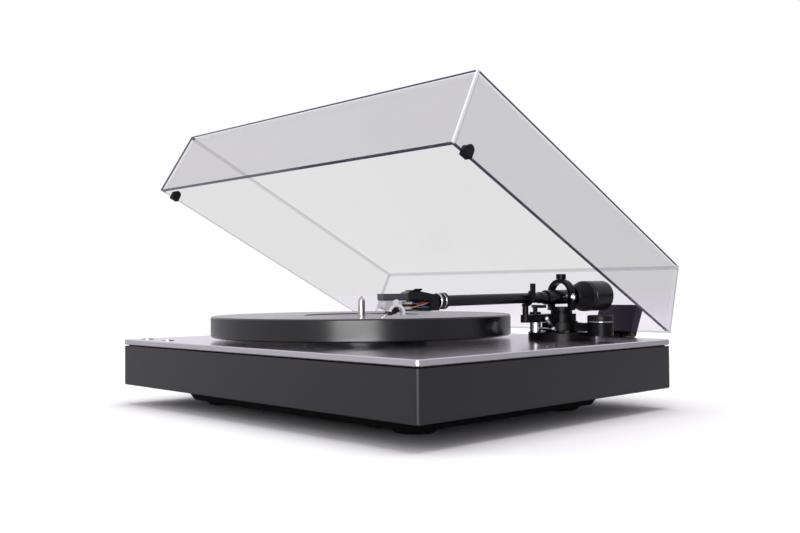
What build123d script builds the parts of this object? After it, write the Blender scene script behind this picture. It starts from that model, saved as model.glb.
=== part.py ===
from build123d import *
import os
from math import cos, radians, sin

# Direct drive turntable with a hinged clear cover, in millimetres.
# The origin is on the floor under the middle of the plinth. +X is to the right seen from the
# front, +Y to the back and +Z up. The cover stands open and the arm lies in its rest.

os.makedirs("parts", exist_ok=True)

# Plinth, deck and tray
deck_width = 438.0
deck_depth = 346.0
deck_top = 67.0
deck_thickness = 5.5
deck_corner_radius = 6.0
deck_chamfer = 0.8
deck_overhang = 0.75
seam_height = 1.2
seam_inset = 3.0
plinth_bottom = 20.0
plinth_corner_radius = 3.5
plinth_chamfer = 0.8
tray_depth = 15.0
tray_width = 350.0
tray_length = 268.0
tray_slope = 8.0
tray_wall = 3.0
tray_corner_radius = 16.0
foot_radius = 20.0
foot_height = 8.0
foot_recess = 3.0
foot_spacing_x = 280.0
foot_spacing_y = 196.0
foot_boss_wall = 3.0
foot_top_radius = 17.0
loose_fit = 0.3
running_fit = 0.05

# Platter and motor
platter_x = -23.0
platter_y = -12.0
platter_radius = 150.5
platter_lift = 4.5
platter_height = 20.2
platter_web = 6.0
platter_rim = 12.0
platter_edge = 1.2
platter_hub_radius = 20.0
label_radius = 58.0
label_depth = 0.8
spindle_radius = 3.6
spindle_rise = 18.7
spindle_tip = 4.0
shaft_radius = 4.0
shaft_boss_radius = 9.0
rotor_radius = 56.0
rotor_plate = 2.5
rotor_depth = 8.8
rotor_seat = 77.0
magnet_inner_radius = 36.0
magnet_thickness = 5.5
air_gap = 1.4
coil_count = 9
coil_circle_radius = 45.0
coil_radius = 12.5
coil_bore = 5.0
coil_height = 4.5
stator_radius = 58.0
stator_thickness = 1.6
motor_hole_radius = 60.0
motor_flange_radius = 63.5
motor_flange = 3.0
motor_well_radius = 57.0
bearing_radius = 10.0
bearing_flange_radius = 16.0
bearing_flange = 2.5
bearing_bottom = 32.0
bearing_floor = 3.0
bearing_top = 66.0

# Electronics and rear panel
bay_width = 172.0
bay_height = 26.0
bay_depth = 75.0
bay_middle = 39.0
panel_width = 184.0
panel_height = 34.0
panel_thickness = 2.0
board_width = 160.0
board_length = 58.0
board_thickness = 1.6
board_standoff = 4.0
standoff_radius = 3.0
capacitor_radius = 6.0
capacitor_height = 15.0
capacitor_pitch = 16.0
capacitor_x = 6.0
chip_size = 12.0
chip_height = 1.8
chip_pitch = 30.0
chip_x = 25.0
part_row_y = 12.0
transformer_x = -50.0
transformer_size = 26.0
transformer_height = 17.0
socket_radius = 4.15
socket_length = 9.5
socket_bore = 1.6
socket_collar_radius = 6.0
socket_collar = 1.2
socket_x = (52.0, 72.0)
ground_x = 32.0
ground_stud_radius = 2.0
ground_stud_length = 12.0
ground_nut_radius = 4.5
ground_nut_length = 7.0
ground_nut_edge = 0.8
level_switch_x = 5.0
level_switch_travel = 3.0
level_switch_nub = 4.0
inlet_x = -62.0
inlet_width = 17.6
inlet_height = 9.7
inlet_depth = 12.0
inlet_flange = 4.0
inlet_pin_radius = 1.2
inlet_pin_spacing = 8.6
inlet_corner = 2.0

# Push buttons at the front left
button_radius = 5.5
button_rise = 1.2
button_height = 7.0
button_from_side = 21.0
button_from_front = 17.5
button_spacing = 41.0
button_well_radius = 9.0
button_well_depth = 12.0

# Arm base
pivot_x = 145.0
pivot_y = 97.5
arm_base_radius = 32.0
arm_base_height = 8.0
base_screw_circle_radius = 25.5
base_screw_radius = 3.5
base_screw_rise = 2.2
base_screw_angle = -43.8
collar_radius = 15.3
collar_height = 10.1
pillar_radius = 10.3
pillar_height = 10.3
groove_depth = 0.6
groove_pitch = 3.0
shank_radius = 9.0
shank_length = 21.0
shank_nut_radius = 15.0
shank_nut_height = 6.0
arm_well_radius = 20.0
bridge_thickness = 7.2
bridge_ring = 3.7
lift_angle = 240.0
lift_circle = 27.0
lift_cylinder_radius = 5.2
lift_stem_radius = 2.2
lift_lobe_wall = 2.0
lift_guide_radius = 5.4
lift_guide_height = 2.0
lift_rail_width = 4.5
lift_rail_height = 2.8
lift_rail_rise = 31.2
lift_rail_start = 226.0
lift_rail_end = 274.0
lift_rail_round = 2.15
lift_travel = 3.5
cue_height = 11.5
cue_spigot_radius = 1.3
cue_shaft_length = 21.0
cue_shaft_root_radius = 1.45
cue_shaft_radius = 2.6
cue_shaft_cap_radius = 1.8
cue_handle_length = 14.0
cue_handle_slope = 45.0
cue_handle_root_radius = 1.2
cue_handle_end_radius = 2.1
cue_handle_ball_radius = 2.2
skate_distance = 44.3
skate_radius = 12.0
skate_bottom = 5.0
skate_knob_bottom = 18.9
skate_knob_height = 5.5
skate_pin_radius = 0.8
skate_pin_height = 3.6
skate_bar_width = 12.0
skate_bar_bottom = 9.3
skate_bar_height = 7.5

# Arm
arm_heading = 267.5
arm_slope = 0.6
gimbal_height = 41.4
arm_tube_radius = 4.8
arm_tube_wall = 0.8
neck_sleeve_radius = 5.4
neck_sleeve_end = 34.0
sleeve_radius = 6.9
sleeve_start = -8.0
sleeve_end = 24.0
stub_radius = 6.2
stub_end = -59.0
yoke_base_radius = 12.5
yoke_base_height = 3.3
yoke_gap = 0.3
yoke_half_width = 14.0
yoke_band = 3.5
yoke_depth = 7.5
yoke_arch_height = 44.5
yoke_shaft_radius = 4.0
yoke_shaft_length = 32.0
top_nut_radius = 4.75
top_nut_height = 5.0
top_nut_slot = 1.25
bearing_screw_radius = 2.5
bearing_screw_head = 3.3
bearing_screw_rise = 1.2
bearing_point_radius = 1.0
bearing_point_tip = 5.8
bearing_socket_floor = 5.5
collar_start = 158.0
collar_end = 165.0
lock_collar_radius = 7.2
lock_collar_bore = 5.2
collar_nose = 1.5
collar_groove_setback = 3.0
collar_groove_flank = 0.6
collar_groove_width = 0.8
collar_groove_depth = 0.7
collar_lip_flank = 0.4
collar_edge = 0.5

# Headshell and cartridge, along the headshell's own line from the bend
bend_distance = 165.0
headshell_offset = 23.0
shell_neck_radius = 6.4
shell_neck_top = 4.9
shell_body_start = 1.0
shell_taper_end = 18.0
shell_shoulder = 28.0
shell_shoulder_end = 31.0
shell_end = 51.0
shell_plate_top = 6.6
shell_plate_thickness = 4.4
shell_width = 18.0
shell_body_depth = 14.5
shell_wall = 3.0
shell_window_start = 9.0
shell_window_roof = 1.0
shell_tongue_end = 21.0
shell_tongue = 1.8
shell_plug_start = 150.0
blade_thickness = 1.2
blade_tab_start = 19.5
blade_tab_length = 7.0
blade_tab_corner = 1.5
blade_inset = 1.0
blade_flat = 5.0
blade_bend = 0.5
blade_reach = 11.0
blade_rise = 4.0
blade_tip = 1.0
blade_half_width = 1.8
cartridge_width = 16.5
cartridge_start = 31.0
cartridge_height = 11.0
cartridge_setback = 0.5
cartridge_nose_length = 2.0
cartridge_nose_height = 1.5
cartridge_heel_length = 5.0
cartridge_heel_height = 3.0
cartridge_edge = 0.8
cartridge_pin_length = 4.0
stylus_reach = 50.0
stylus_drop = 14.4
stylus_half_width = 2.4
holder_back = 13.0
holder_front = 4.5
holder_nose = 2.8
holder_nose_drop = 2.6
holder_lip = 4.2
holder_lip_drop = 3.8
holder_heel = 10.0
holder_heel_drop = 2.4
cantilever_radius = 0.6
cantilever_setback = 3.6
cantilever_drop = 3.0
lead_radius = 0.55
lead_spacing = 2.6
lead_bend = 3.0
lead_run = 5.0
lead_spread = 2.1

# Counterweight
weight_start = 20.5
weight_cone_radius = 9.6
weight_cone_end = 37.5
dial_rim = 4.0
weight_end = 66.0
weight_radius = 15.0
weight_bore = 8.2
weight_edge = 2.0
liner_start = 22.0
liner_end = 62.5

# Arm rest
rest_distance = 52.5
rest_width = 6.0
rest_clearance = 0.3
rest_radius = 7.6
rest_post_radius = 2.8
rest_lobe_radius = 4.6
rest_lobe_root = 8.0
cradle_open_to = 255.0
cradle_wall_height = 3.2
latch_radius = 9.4
latch_width = 5.0
latch_finger_width = 4.6
latch_finger_height = 13.5
latch_from = -20.0
latch_to = 45.0
latch_finger_extra = 1.0

# Clear cover, measured from the bottom edge of its rear wall
hinge_from_plinth = 9.45
hinge_drop = 7.9
cover_angle = 26.6
rim_forward = 10.2
rim_up = 9.9
cover_width = 432.0
cover_depth = 344.0
cover_height = 70.3
cover_wall = 3.5
cover_draft_side = 5.4
cover_draft_front = 4.2
cover_draft_rear = 4.75
bumper_setback = 18.0
bumper_radius = 4.0
bumper_rise = 8.5
bumper_pad = 1.7
bumper_wall = 1.6

# Hinges
hinge_spacing = 300.0
knuckle_radius = 8.5
knuckle_width = 21.0
hinge_pin_radius = 2.5
hinge_pin_head_radius = 4.0
hinge_pin_head = 1.5
ear_radius = 6.0
ear_width = 4.5
bracket_width = 42.0
bracket_height = 23.0
bracket_bottom = 25.0
bracket_thickness = 3.0
leaf_width = 34.0
leaf_thickness = 5.0
leaf_back = 4.5
leaf_top = 21.5
leaf_bottom = -1.0
leaf_neck_width = 13.0
pocket_width = 44.0
pocket_height = 29.0
pocket_back = 15.0
pocket_bevel = 5.0
hinge_corner = 1.5

# Small screws
screw_head_radius = 2.8
screw_head_height = 1.6
screw_edge = 5.0
tray_screw_places = ((-155.0, 0.0), (155.0, 0.0), (0.0, -115.0), (0.0, 115.0))

# Levels and places that follow from the sizes above
deck_bottom = deck_top - deck_thickness
plinth_top = deck_bottom - seam_height
button_x = (-deck_width / 2 + button_from_side, -deck_width / 2 + button_from_side + button_spacing)
button_y = -deck_depth / 2 + button_from_front
plinth_width = deck_width - 2 * deck_overhang
plinth_depth = deck_depth - 2 * deck_overhang
plinth_rear = plinth_depth / 2
plinth_height = plinth_top - plinth_bottom
tray_bottom = plinth_bottom - tray_depth
platter_bottom = deck_top + platter_lift
platter_top = platter_bottom + platter_height
spindle_top = platter_top + spindle_rise
magnet_top = rotor_seat - rotor_plate
magnet_bottom = magnet_top - magnet_thickness
coil_top = magnet_bottom - air_gap
coil_bottom = coil_top - coil_height
stator_bottom = coil_bottom - stator_thickness
panel_front = plinth_rear - panel_thickness
arm_base_top = deck_top + arm_base_height
collar_top = arm_base_top + collar_height
pillar_top = collar_top + pillar_height
yoke_bottom = pillar_top + yoke_gap
yoke_base_top = yoke_bottom + yoke_base_height
gimbal_z = deck_top + gimbal_height
hinge_y = plinth_rear + hinge_from_plinth
hinge_z = deck_top - hinge_drop
bumper_back = cover_depth - bumper_setback

spindle_axis = Axis((platter_x, platter_y, 0), (0, 0, 1))
spindle_side = Plane(origin=(platter_x, platter_y, 0), x_dir=(1, 0, 0), z_dir=(0, -1, 0))
pivot_axis = Axis((pivot_x, pivot_y, 0), (0, 0, 1))
pivot_side = Plane(origin=(pivot_x, pivot_y, 0), x_dir=(1, 0, 0), z_dir=(0, -1, 0))


def level(x, y, z):
    """A horizontal plane with its origin at a point."""
    return Plane(origin=(x, y, z))


def heading_vector(degrees_from_x, downhill=0.0):
    """A unit vector with a compass heading and a slope down."""
    h = radians(degrees_from_x)
    s = radians(downhill)
    return Vector(cos(h) * cos(s), sin(h) * cos(s), -sin(s))


def outline(plane, points):
    """A flat face with straight edges, on a plane."""
    with BuildSketch(plane) as flat:
        with BuildLine():
            Polyline(*points, close=True)
        make_face()
    return flat.sketch


def around(centre_x, centre_y, radius, angle):
    """A point on a circle seen from above."""
    a = radians(angle)
    return (centre_x + radius * cos(a), centre_y + radius * sin(a))


up = Vector(0, 0, 1)
arm_along = heading_vector(arm_heading, arm_slope)
arm_level = heading_vector(arm_heading)
arm_right = up.cross(arm_level)
gimbal = Vector(pivot_x, pivot_y, gimbal_z)
arm_axis = Axis(gimbal, arm_along)
arm_side = Plane(origin=gimbal, x_dir=arm_along, z_dir=arm_along.cross(up))
yoke_plane = Plane(origin=(pivot_x, pivot_y, 0), x_dir=arm_right, z_dir=arm_level)
bend = gimbal + arm_along * bend_distance
shell_along = heading_vector(arm_heading - headshell_offset)
shell_right = up.cross(shell_along)
shell_side = Plane(origin=bend, x_dir=shell_along, z_dir=shell_along.cross(up))
shell_top = Plane(origin=bend, x_dir=shell_along, z_dir=up)
lift_x, lift_y = around(pivot_x, pivot_y, lift_circle, lift_angle)
rest_point = gimbal + arm_along * rest_distance
skate_x = pivot_x + skate_distance


def across_arm(distance):
    """The plane square to the arm at a distance from the gimbal towards the headshell."""
    return Plane(origin=gimbal + arm_along * distance, x_dir=arm_right, z_dir=arm_along)


# Plinth: a routed block with wells for the motor, the arm, the buttons and the electronics
with BuildPart() as plinth_block:
    with BuildSketch(Plane.XY.offset(plinth_bottom)):
        RectangleRounded(plinth_width, plinth_depth, plinth_corner_radius)
    extrude(amount=plinth_height)
    chamfer(plinth_block.faces().sort_by(Axis.Z)[0].outer_wire().edges(), plinth_chamfer)
    with BuildSketch(level(platter_x, platter_y, plinth_top)):
        Circle(motor_flange_radius + loose_fit)
    extrude(amount=-motor_flange, mode=Mode.SUBTRACT)
    with BuildSketch(level(platter_x, platter_y, plinth_bottom)):
        Circle(motor_well_radius)
    extrude(amount=plinth_height, mode=Mode.SUBTRACT)
    with BuildSketch(level(pivot_x, pivot_y, plinth_bottom)):
        Circle(arm_well_radius)
    extrude(amount=plinth_height, mode=Mode.SUBTRACT)
    with BuildSketch(Plane.XY.offset(plinth_top)):
        with Locations(*[(x, button_y) for x in button_x]):
            Circle(button_well_radius)
    extrude(amount=-button_well_depth, mode=Mode.SUBTRACT)
    with BuildSketch(Plane.XY.offset(bay_middle - bay_height / 2)):
        with Locations((0, plinth_rear)):
            Rectangle(bay_width, bay_depth, align=(Align.CENTER, Align.MAX))
    extrude(amount=bay_height, mode=Mode.SUBTRACT)
    with BuildSketch(Plane.XY.offset(bay_middle - panel_height / 2)):
        with Locations((0, plinth_rear)):
            Rectangle(panel_width, panel_thickness, align=(Align.CENTER, Align.MAX))
    extrude(amount=panel_height, mode=Mode.SUBTRACT)
plinth_block.part.label = "plinth_block"
export_step(plinth_block.part, "parts/plinth_block.step")

# Damping sheet: it lifts the deck clear of the plinth and leaves the dark seam
with BuildPart() as damping_sheet:
    with BuildSketch(Plane.XY.offset(plinth_top)):
        RectangleRounded(plinth_width - 2 * seam_inset, plinth_depth - 2 * seam_inset, plinth_corner_radius)
        with Locations((platter_x, platter_y)):
            Circle(motor_hole_radius, mode=Mode.SUBTRACT)
        with Locations((pivot_x, pivot_y)):
            Circle(arm_well_radius, mode=Mode.SUBTRACT)
        with Locations(*[(x, button_y) for x in button_x]):
            Circle(button_well_radius, mode=Mode.SUBTRACT)
    extrude(amount=seam_height)
damping_sheet.part.label = "damping_sheet"
export_step(damping_sheet.part, "parts/damping_sheet.step")

# Deck plate
with BuildPart() as deck_plate:
    with BuildSketch(Plane.XY.offset(deck_bottom)):
        RectangleRounded(deck_width, deck_depth, deck_corner_radius)
    extrude(amount=deck_thickness)
    chamfer(deck_plate.faces().sort_by(Axis.Z)[0].outer_wire().edges(), deck_chamfer)
    chamfer(deck_plate.faces().sort_by(Axis.Z)[-1].outer_wire().edges(), deck_chamfer)
    with BuildSketch(Plane.XY.offset(deck_bottom)):
        with Locations((platter_x, platter_y)):
            Circle(motor_hole_radius)
        with Locations((pivot_x, pivot_y)):
            Circle(shank_radius + loose_fit)
        with Locations(*[(x, button_y) for x in button_x]):
            Circle(button_radius + loose_fit)
    extrude(amount=deck_thickness, mode=Mode.SUBTRACT)
deck_plate.part.label = "deck_plate"
export_step(deck_plate.part, "parts/deck_plate.step")

# Base tray: a dish with sloping sides, with a recess for each foot
foot_places = [(sx * foot_spacing_x / 2, sy * foot_spacing_y / 2) for sx in (-1, 1) for sy in (-1, 1)]
with BuildPart() as base_tray:
    with BuildSketch(Plane.XY.offset(tray_bottom)):
        RectangleRounded(tray_width - 2 * tray_slope, tray_length - 2 * tray_slope, tray_corner_radius)
    with BuildSketch(Plane.XY.offset(plinth_bottom)):
        RectangleRounded(tray_width, tray_length, tray_corner_radius)
    loft(ruled=True)
    with BuildSketch(Plane.XY.offset(tray_bottom + tray_wall)):
        RectangleRounded(
            tray_width - 2 * tray_slope - 2 * tray_wall,
            tray_length - 2 * tray_slope - 2 * tray_wall,
            tray_corner_radius - tray_wall,
        )
    with BuildSketch(Plane.XY.offset(plinth_bottom)):
        RectangleRounded(
            tray_width - 2 * tray_wall,
            tray_length - 2 * tray_wall,
            tray_corner_radius - tray_wall,
        )
    loft(ruled=True, mode=Mode.SUBTRACT)
    with BuildSketch(Plane.XY.offset(tray_bottom)):
        with Locations(*foot_places):
            Circle(foot_radius + loose_fit + foot_boss_wall)
    extrude(amount=tray_wall + foot_recess)
    with BuildSketch(Plane.XY.offset(tray_bottom)):
        with Locations(*foot_places):
            Circle(foot_radius + loose_fit)
    extrude(amount=foot_recess, mode=Mode.SUBTRACT)
base_tray.part.label = "base_tray"
export_step(base_tray.part, "parts/base_tray.step")

# Feet: soft pucks, bevelled at the bottom rim
with BuildPart() as feet:
    with BuildSketch(Plane.XY):
        with Locations(*foot_places):
            Circle(foot_radius)
    extrude(amount=foot_height)
    chamfer(feet.edges().group_by(Axis.Z)[0], foot_radius - foot_top_radius)
feet.part.label = "feet"
export_step(feet.part, "parts/feet.step")

# Motor plate: flanged disc held under the deck, with the bearing through its middle
with BuildPart() as motor_plate:
    with BuildSketch(level(platter_x, platter_y, plinth_top - motor_flange)):
        Circle(motor_flange_radius)
    extrude(amount=motor_flange)
    with BuildSketch(level(platter_x, platter_y, plinth_top)):
        Circle(stator_radius - 2 * motor_flange)
    extrude(amount=stator_bottom - plinth_top)
    with BuildSketch(level(platter_x, platter_y, plinth_top - motor_flange)):
        Circle(bearing_radius + running_fit)
    extrude(amount=stator_bottom - plinth_top + motor_flange, mode=Mode.SUBTRACT)
motor_plate.part.label = "motor_plate"
export_step(motor_plate.part, "parts/motor_plate.step")

# Bearing housing: a deep well with a flange, closed at the bottom by its thrust floor
with BuildPart() as bearing_housing:
    housing_outline = [
        (0, bearing_bottom),
        (bearing_radius, bearing_bottom),
        (bearing_radius, stator_bottom),
        (bearing_flange_radius, stator_bottom),
        (bearing_flange_radius, stator_bottom + bearing_flange),
        (bearing_radius, stator_bottom + bearing_flange),
        (bearing_radius, bearing_top),
        (shaft_radius + running_fit, bearing_top),
        (shaft_radius + running_fit, bearing_bottom + bearing_floor),
        (0, bearing_bottom + bearing_floor),
    ]
    revolve(outline(spindle_side, housing_outline), axis=spindle_axis)
bearing_housing.part.label = "bearing_housing"
export_step(bearing_housing.part, "parts/bearing_housing.step")

# Stator: circuit board and a ring of flat coils
with BuildPart() as stator_board:
    with BuildSketch(level(platter_x, platter_y, stator_bottom)):
        Circle(stator_radius)
        Circle(bearing_flange_radius + loose_fit, mode=Mode.SUBTRACT)
    extrude(amount=stator_thickness)
stator_board.part.label = "stator_board"
export_step(stator_board.part, "parts/stator_board.step")

with BuildPart() as stator_coils:
    with BuildSketch(level(platter_x, platter_y, coil_bottom)):
        with PolarLocations(coil_circle_radius, coil_count):
            Circle(coil_radius)
            Circle(coil_bore, mode=Mode.SUBTRACT)
    extrude(amount=coil_height)
stator_coils.part.label = "stator_coils"
export_step(stator_coils.part, "parts/stator_coils.step")

# Rotor: steel cup with a ring magnet under it, on the spindle shaft
with BuildPart() as rotor_cup:
    cup_outline = [
        (shaft_radius + running_fit, magnet_top),
        (rotor_radius - rotor_plate, magnet_top),
        (rotor_radius - rotor_plate, rotor_seat - rotor_depth),
        (rotor_radius, rotor_seat - rotor_depth),
        (rotor_radius, rotor_seat),
        (shaft_radius + running_fit, rotor_seat),
    ]
    revolve(outline(spindle_side, cup_outline), axis=spindle_axis)
rotor_cup.part.label = "rotor_cup"
export_step(rotor_cup.part, "parts/rotor_cup.step")

with BuildPart() as ring_magnet:
    with BuildSketch(level(platter_x, platter_y, magnet_bottom)):
        Circle(rotor_radius - rotor_plate - running_fit)
        Circle(magnet_inner_radius, mode=Mode.SUBTRACT)
    extrude(amount=magnet_thickness)
ring_magnet.part.label = "ring_magnet"
export_step(ring_magnet.part, "parts/ring_magnet.step")

shaft_step = platter_top - label_depth
with BuildPart() as spindle:
    shaft_outline = [
        (0, bearing_bottom + bearing_floor + running_fit),
        (shaft_radius, bearing_bottom + bearing_floor + running_fit),
        (shaft_radius, bearing_top + loose_fit),
        (shaft_boss_radius, bearing_top + loose_fit),
        (shaft_boss_radius, magnet_top),
        (shaft_radius, magnet_top),
        (shaft_radius, shaft_step),
        (spindle_radius, shaft_step),
        (spindle_radius, spindle_top - spindle_tip),
        (spindle_radius / 4, spindle_top),
        (0, spindle_top),
    ]
    revolve(outline(spindle_side, shaft_outline), axis=spindle_axis)
spindle.part.label = "spindle"
export_step(spindle.part, "parts/spindle.step")

# Platter: turned disc with a deep rim, a thin web, a hub and a label recess
with BuildPart() as platter:
    platter_outline = [
        (shaft_radius + running_fit, platter_top - label_depth),
        (label_radius, platter_top - label_depth),
        (label_radius, platter_top),
        (platter_radius - platter_edge, platter_top),
        (platter_radius, platter_top - platter_edge),
        (platter_radius, platter_bottom + platter_edge),
        (platter_radius - platter_edge, platter_bottom),
        (platter_radius - platter_rim, platter_bottom),
        (platter_radius - platter_rim, platter_top - platter_web),
        (platter_hub_radius, platter_top - platter_web),
        (platter_hub_radius, rotor_seat),
        (shaft_radius + running_fit, rotor_seat),
    ]
    revolve(outline(spindle_side, platter_outline), axis=spindle_axis)
platter.part.label = "platter"
export_step(platter.part, "parts/platter.step")

# Main board on four standoffs in the rear bay, with its tall components
bay_floor = bay_middle - bay_height / 2
board_y = panel_front - board_length / 2 - socket_length
board_bottom = bay_floor + board_standoff
board_top = board_bottom + board_thickness
with BuildPart() as main_board:
    with BuildSketch(level(0, board_y, bay_floor)):
        with GridLocations(board_width - 4 * standoff_radius, board_length - 4 * standoff_radius, 2, 2):
            Circle(standoff_radius)
    extrude(amount=board_standoff)
    with BuildSketch(level(0, board_y, board_bottom)):
        Rectangle(board_width, board_length)
    extrude(amount=board_thickness)
main_board.part.label = "main_board"
export_step(main_board.part, "parts/main_board.step")

with BuildPart() as board_parts:
    with BuildSketch(level(0, board_y, board_top)):
        with Locations((capacitor_x, part_row_y)):
            with GridLocations(capacitor_pitch, 0, 3, 1):
                Circle(capacitor_radius)
    extrude(amount=capacitor_height)
    with BuildSketch(level(0, board_y, board_top)):
        with Locations((chip_x, -part_row_y)):
            with GridLocations(chip_pitch, 0, 2, 1):
                Rectangle(chip_size, chip_size)
    extrude(amount=chip_height)
    with BuildSketch(level(0, board_y, board_top)):
        with Locations((transformer_x, 0)):
            Rectangle(transformer_size, transformer_size)
    extrude(amount=transformer_height)
board_parts.part.label = "board_parts"
export_step(board_parts.part, "parts/board_parts.step")

# Rear panel with the ground stud, the sockets and the mains inlet
panel_face = Plane(origin=(0, plinth_rear, bay_middle), x_dir=(-1, 0, 0), z_dir=(0, 1, 0))
panel_back = panel_face.offset(-panel_thickness)
with BuildPart() as rear_panel:
    with BuildSketch(panel_back):
        RectangleRounded(panel_width - 2 * loose_fit, panel_height - 2 * loose_fit, plinth_corner_radius)
        with Locations(*[(-x, 0) for x in socket_x]):
            Circle(socket_radius + running_fit, mode=Mode.SUBTRACT)
        with Locations((-inlet_x, 0)):
            Rectangle(inlet_width + inlet_flange, inlet_height + inlet_flange, mode=Mode.SUBTRACT)
        with Locations((-level_switch_x, 0)):
            Rectangle(
                level_switch_nub + level_switch_travel + 2 * loose_fit,
                level_switch_nub + 2 * loose_fit,
                mode=Mode.SUBTRACT,
            )
    extrude(amount=panel_thickness)
    with BuildSketch(panel_back):
        with Locations((-ground_x, 0)):
            Circle(ground_stud_radius)
    extrude(amount=ground_stud_length)
rear_panel.part.label = "rear_panel"
export_step(rear_panel.part, "parts/rear_panel.step")

with BuildPart() as phono_sockets:
    with BuildSketch(panel_back.offset(-socket_length)):
        with Locations(*[(-x, 0) for x in socket_x]):
            Circle(socket_radius)
    extrude(amount=socket_length + panel_thickness)
    with BuildSketch(panel_face):
        with Locations(*[(-x, 0) for x in socket_x]):
            Circle(socket_collar_radius)
    extrude(amount=socket_collar)
    with BuildSketch(panel_face.offset(socket_collar)):
        with Locations(*[(-x, 0) for x in socket_x]):
            Circle(socket_radius)
    extrude(amount=socket_length)
    with BuildSketch(panel_face.offset(socket_collar + socket_length)):
        with Locations(*[(-x, 0) for x in socket_x]):
            Circle(socket_bore)
    extrude(amount=-socket_length, mode=Mode.SUBTRACT)
phono_sockets.part.label = "phono_sockets"
export_step(phono_sockets.part, "parts/phono_sockets.step")

with BuildPart() as ground_nut:
    with BuildSketch(panel_face.offset(loose_fit)):
        with Locations((-ground_x, 0)):
            Circle(ground_nut_radius)
            Circle(ground_stud_radius + running_fit, mode=Mode.SUBTRACT)
    extrude(amount=ground_nut_length)
    nut_rim = ground_nut.edges().group_by(Axis.Y)[-1].filter_by(GeomType.CIRCLE).sort_by(SortBy.RADIUS)[-1]
    chamfer(nut_rim, ground_nut_edge)
ground_nut.part.label = "ground_nut"
export_step(ground_nut.part, "parts/ground_nut.step")

with BuildPart() as level_switch:
    switch_start = -level_switch_x + level_switch_travel / 2
    with BuildSketch(panel_back.offset(-level_switch_nub)):
        with Locations((switch_start, 0)):
            Rectangle(level_switch_nub, level_switch_nub)
    extrude(amount=2 * level_switch_nub)
level_switch.part.label = "level_switch"
export_step(level_switch.part, "parts/level_switch.step")

inlet_block_width = inlet_width + inlet_flange
inlet_block_height = inlet_height + inlet_flange
with BuildPart() as mains_inlet:
    with BuildSketch(panel_face.offset(-inlet_depth - inlet_flange)):
        with Locations((-inlet_x, 0)):
            Rectangle(inlet_block_width - 2 * running_fit, inlet_block_height - 2 * running_fit)
    extrude(amount=inlet_depth + inlet_flange)
    with BuildSketch(panel_face):
        with Locations((-inlet_x, 0)):
            RectangleRounded(
                inlet_block_width + inlet_flange,
                inlet_block_height + inlet_flange,
                inlet_corner,
            )
    extrude(amount=socket_collar)
    with BuildSketch(panel_face.offset(socket_collar)):
        with Locations((-inlet_x, 0)):
            SlotOverall(inlet_width, inlet_height)
    extrude(amount=-inlet_depth - socket_collar, mode=Mode.SUBTRACT)
    with BuildSketch(panel_face.offset(-inlet_depth)):
        with Locations((-inlet_x, 0)):
            with GridLocations(inlet_pin_spacing, 0, 2, 1):
                Circle(inlet_pin_radius)
    extrude(amount=inlet_depth - 2 * inlet_pin_radius)
mains_inlet.part.label = "mains_inlet"
export_step(mains_inlet.part, "parts/mains_inlet.step")

# Push buttons
button_names = ["power_button", "speed_button"]
for button_name, x in zip(button_names, button_x):
    with BuildPart() as button:
        with BuildSketch(level(x, button_y, deck_top + button_rise - button_height)):
            Circle(button_radius)
        extrude(amount=button_height)
        chamfer(button.edges().group_by(Axis.Z)[-1], button_rise / 3)
    button.part.label = button_name
    export_step(button.part, f"parts/{button_name}.step")

# Arm base disc and its three screws
with BuildPart() as arm_base:
    with BuildSketch(level(pivot_x, pivot_y, deck_top)):
        Circle(arm_base_radius)
    extrude(amount=arm_base_height)
    chamfer(arm_base.edges().group_by(Axis.Z)[-1], deck_chamfer)
    with BuildSketch(level(pivot_x, pivot_y, deck_top)):
        Circle(shank_radius + running_fit)
    extrude(amount=arm_base_height, mode=Mode.SUBTRACT)
arm_base.part.label = "arm_base"
export_step(arm_base.part, "parts/arm_base.step")

with BuildPart() as base_screws:
    with BuildSketch(level(pivot_x, pivot_y, arm_base_top)):
        with PolarLocations(base_screw_circle_radius, 3, start_angle=base_screw_angle):
            Circle(base_screw_radius)
    extrude(amount=base_screw_rise)
    chamfer(base_screws.edges().group_by(Axis.Z)[-1], base_screw_rise / 3)
base_screws.part.label = "base_screws"
export_step(base_screws.part, "parts/base_screws.step")

# Pillar: lower collar, grooved bearing tube and a threaded shank through the deck
with BuildPart() as arm_pillar:
    pillar_outline = [
        (yoke_shaft_radius + running_fit, deck_top + arm_base_height - shank_length - shank_nut_height),
        (shank_radius, deck_top + arm_base_height - shank_length - shank_nut_height),
        (shank_radius, arm_base_top),
        (collar_radius, arm_base_top),
        (collar_radius, collar_top),
        (pillar_radius, collar_top),
        (pillar_radius, pillar_top),
        (yoke_shaft_radius + running_fit, pillar_top),
    ]
    revolve(outline(pivot_side, pillar_outline), axis=pivot_axis)
    groove_outline = [
        (collar_radius - groove_depth, collar_top - groove_pitch - groove_depth),
        (collar_radius + groove_depth, collar_top - groove_pitch - groove_depth),
        (collar_radius + groove_depth, collar_top - groove_pitch + groove_depth),
        (collar_radius - groove_depth, collar_top - groove_pitch + groove_depth),
    ]
    revolve(outline(pivot_side, groove_outline), axis=pivot_axis, mode=Mode.SUBTRACT)
arm_pillar.part.label = "arm_pillar"
export_step(arm_pillar.part, "parts/arm_pillar.step")

with BuildPart() as shank_nut:
    with BuildSketch(level(pivot_x, pivot_y, deck_bottom - shank_nut_height)):
        RegularPolygon(shank_nut_radius, 6)
        Circle(shank_radius + running_fit, mode=Mode.SUBTRACT)
    extrude(amount=shank_nut_height)
shank_nut.part.label = "shank_nut"
export_step(shank_nut.part, "parts/shank_nut.step")

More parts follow.
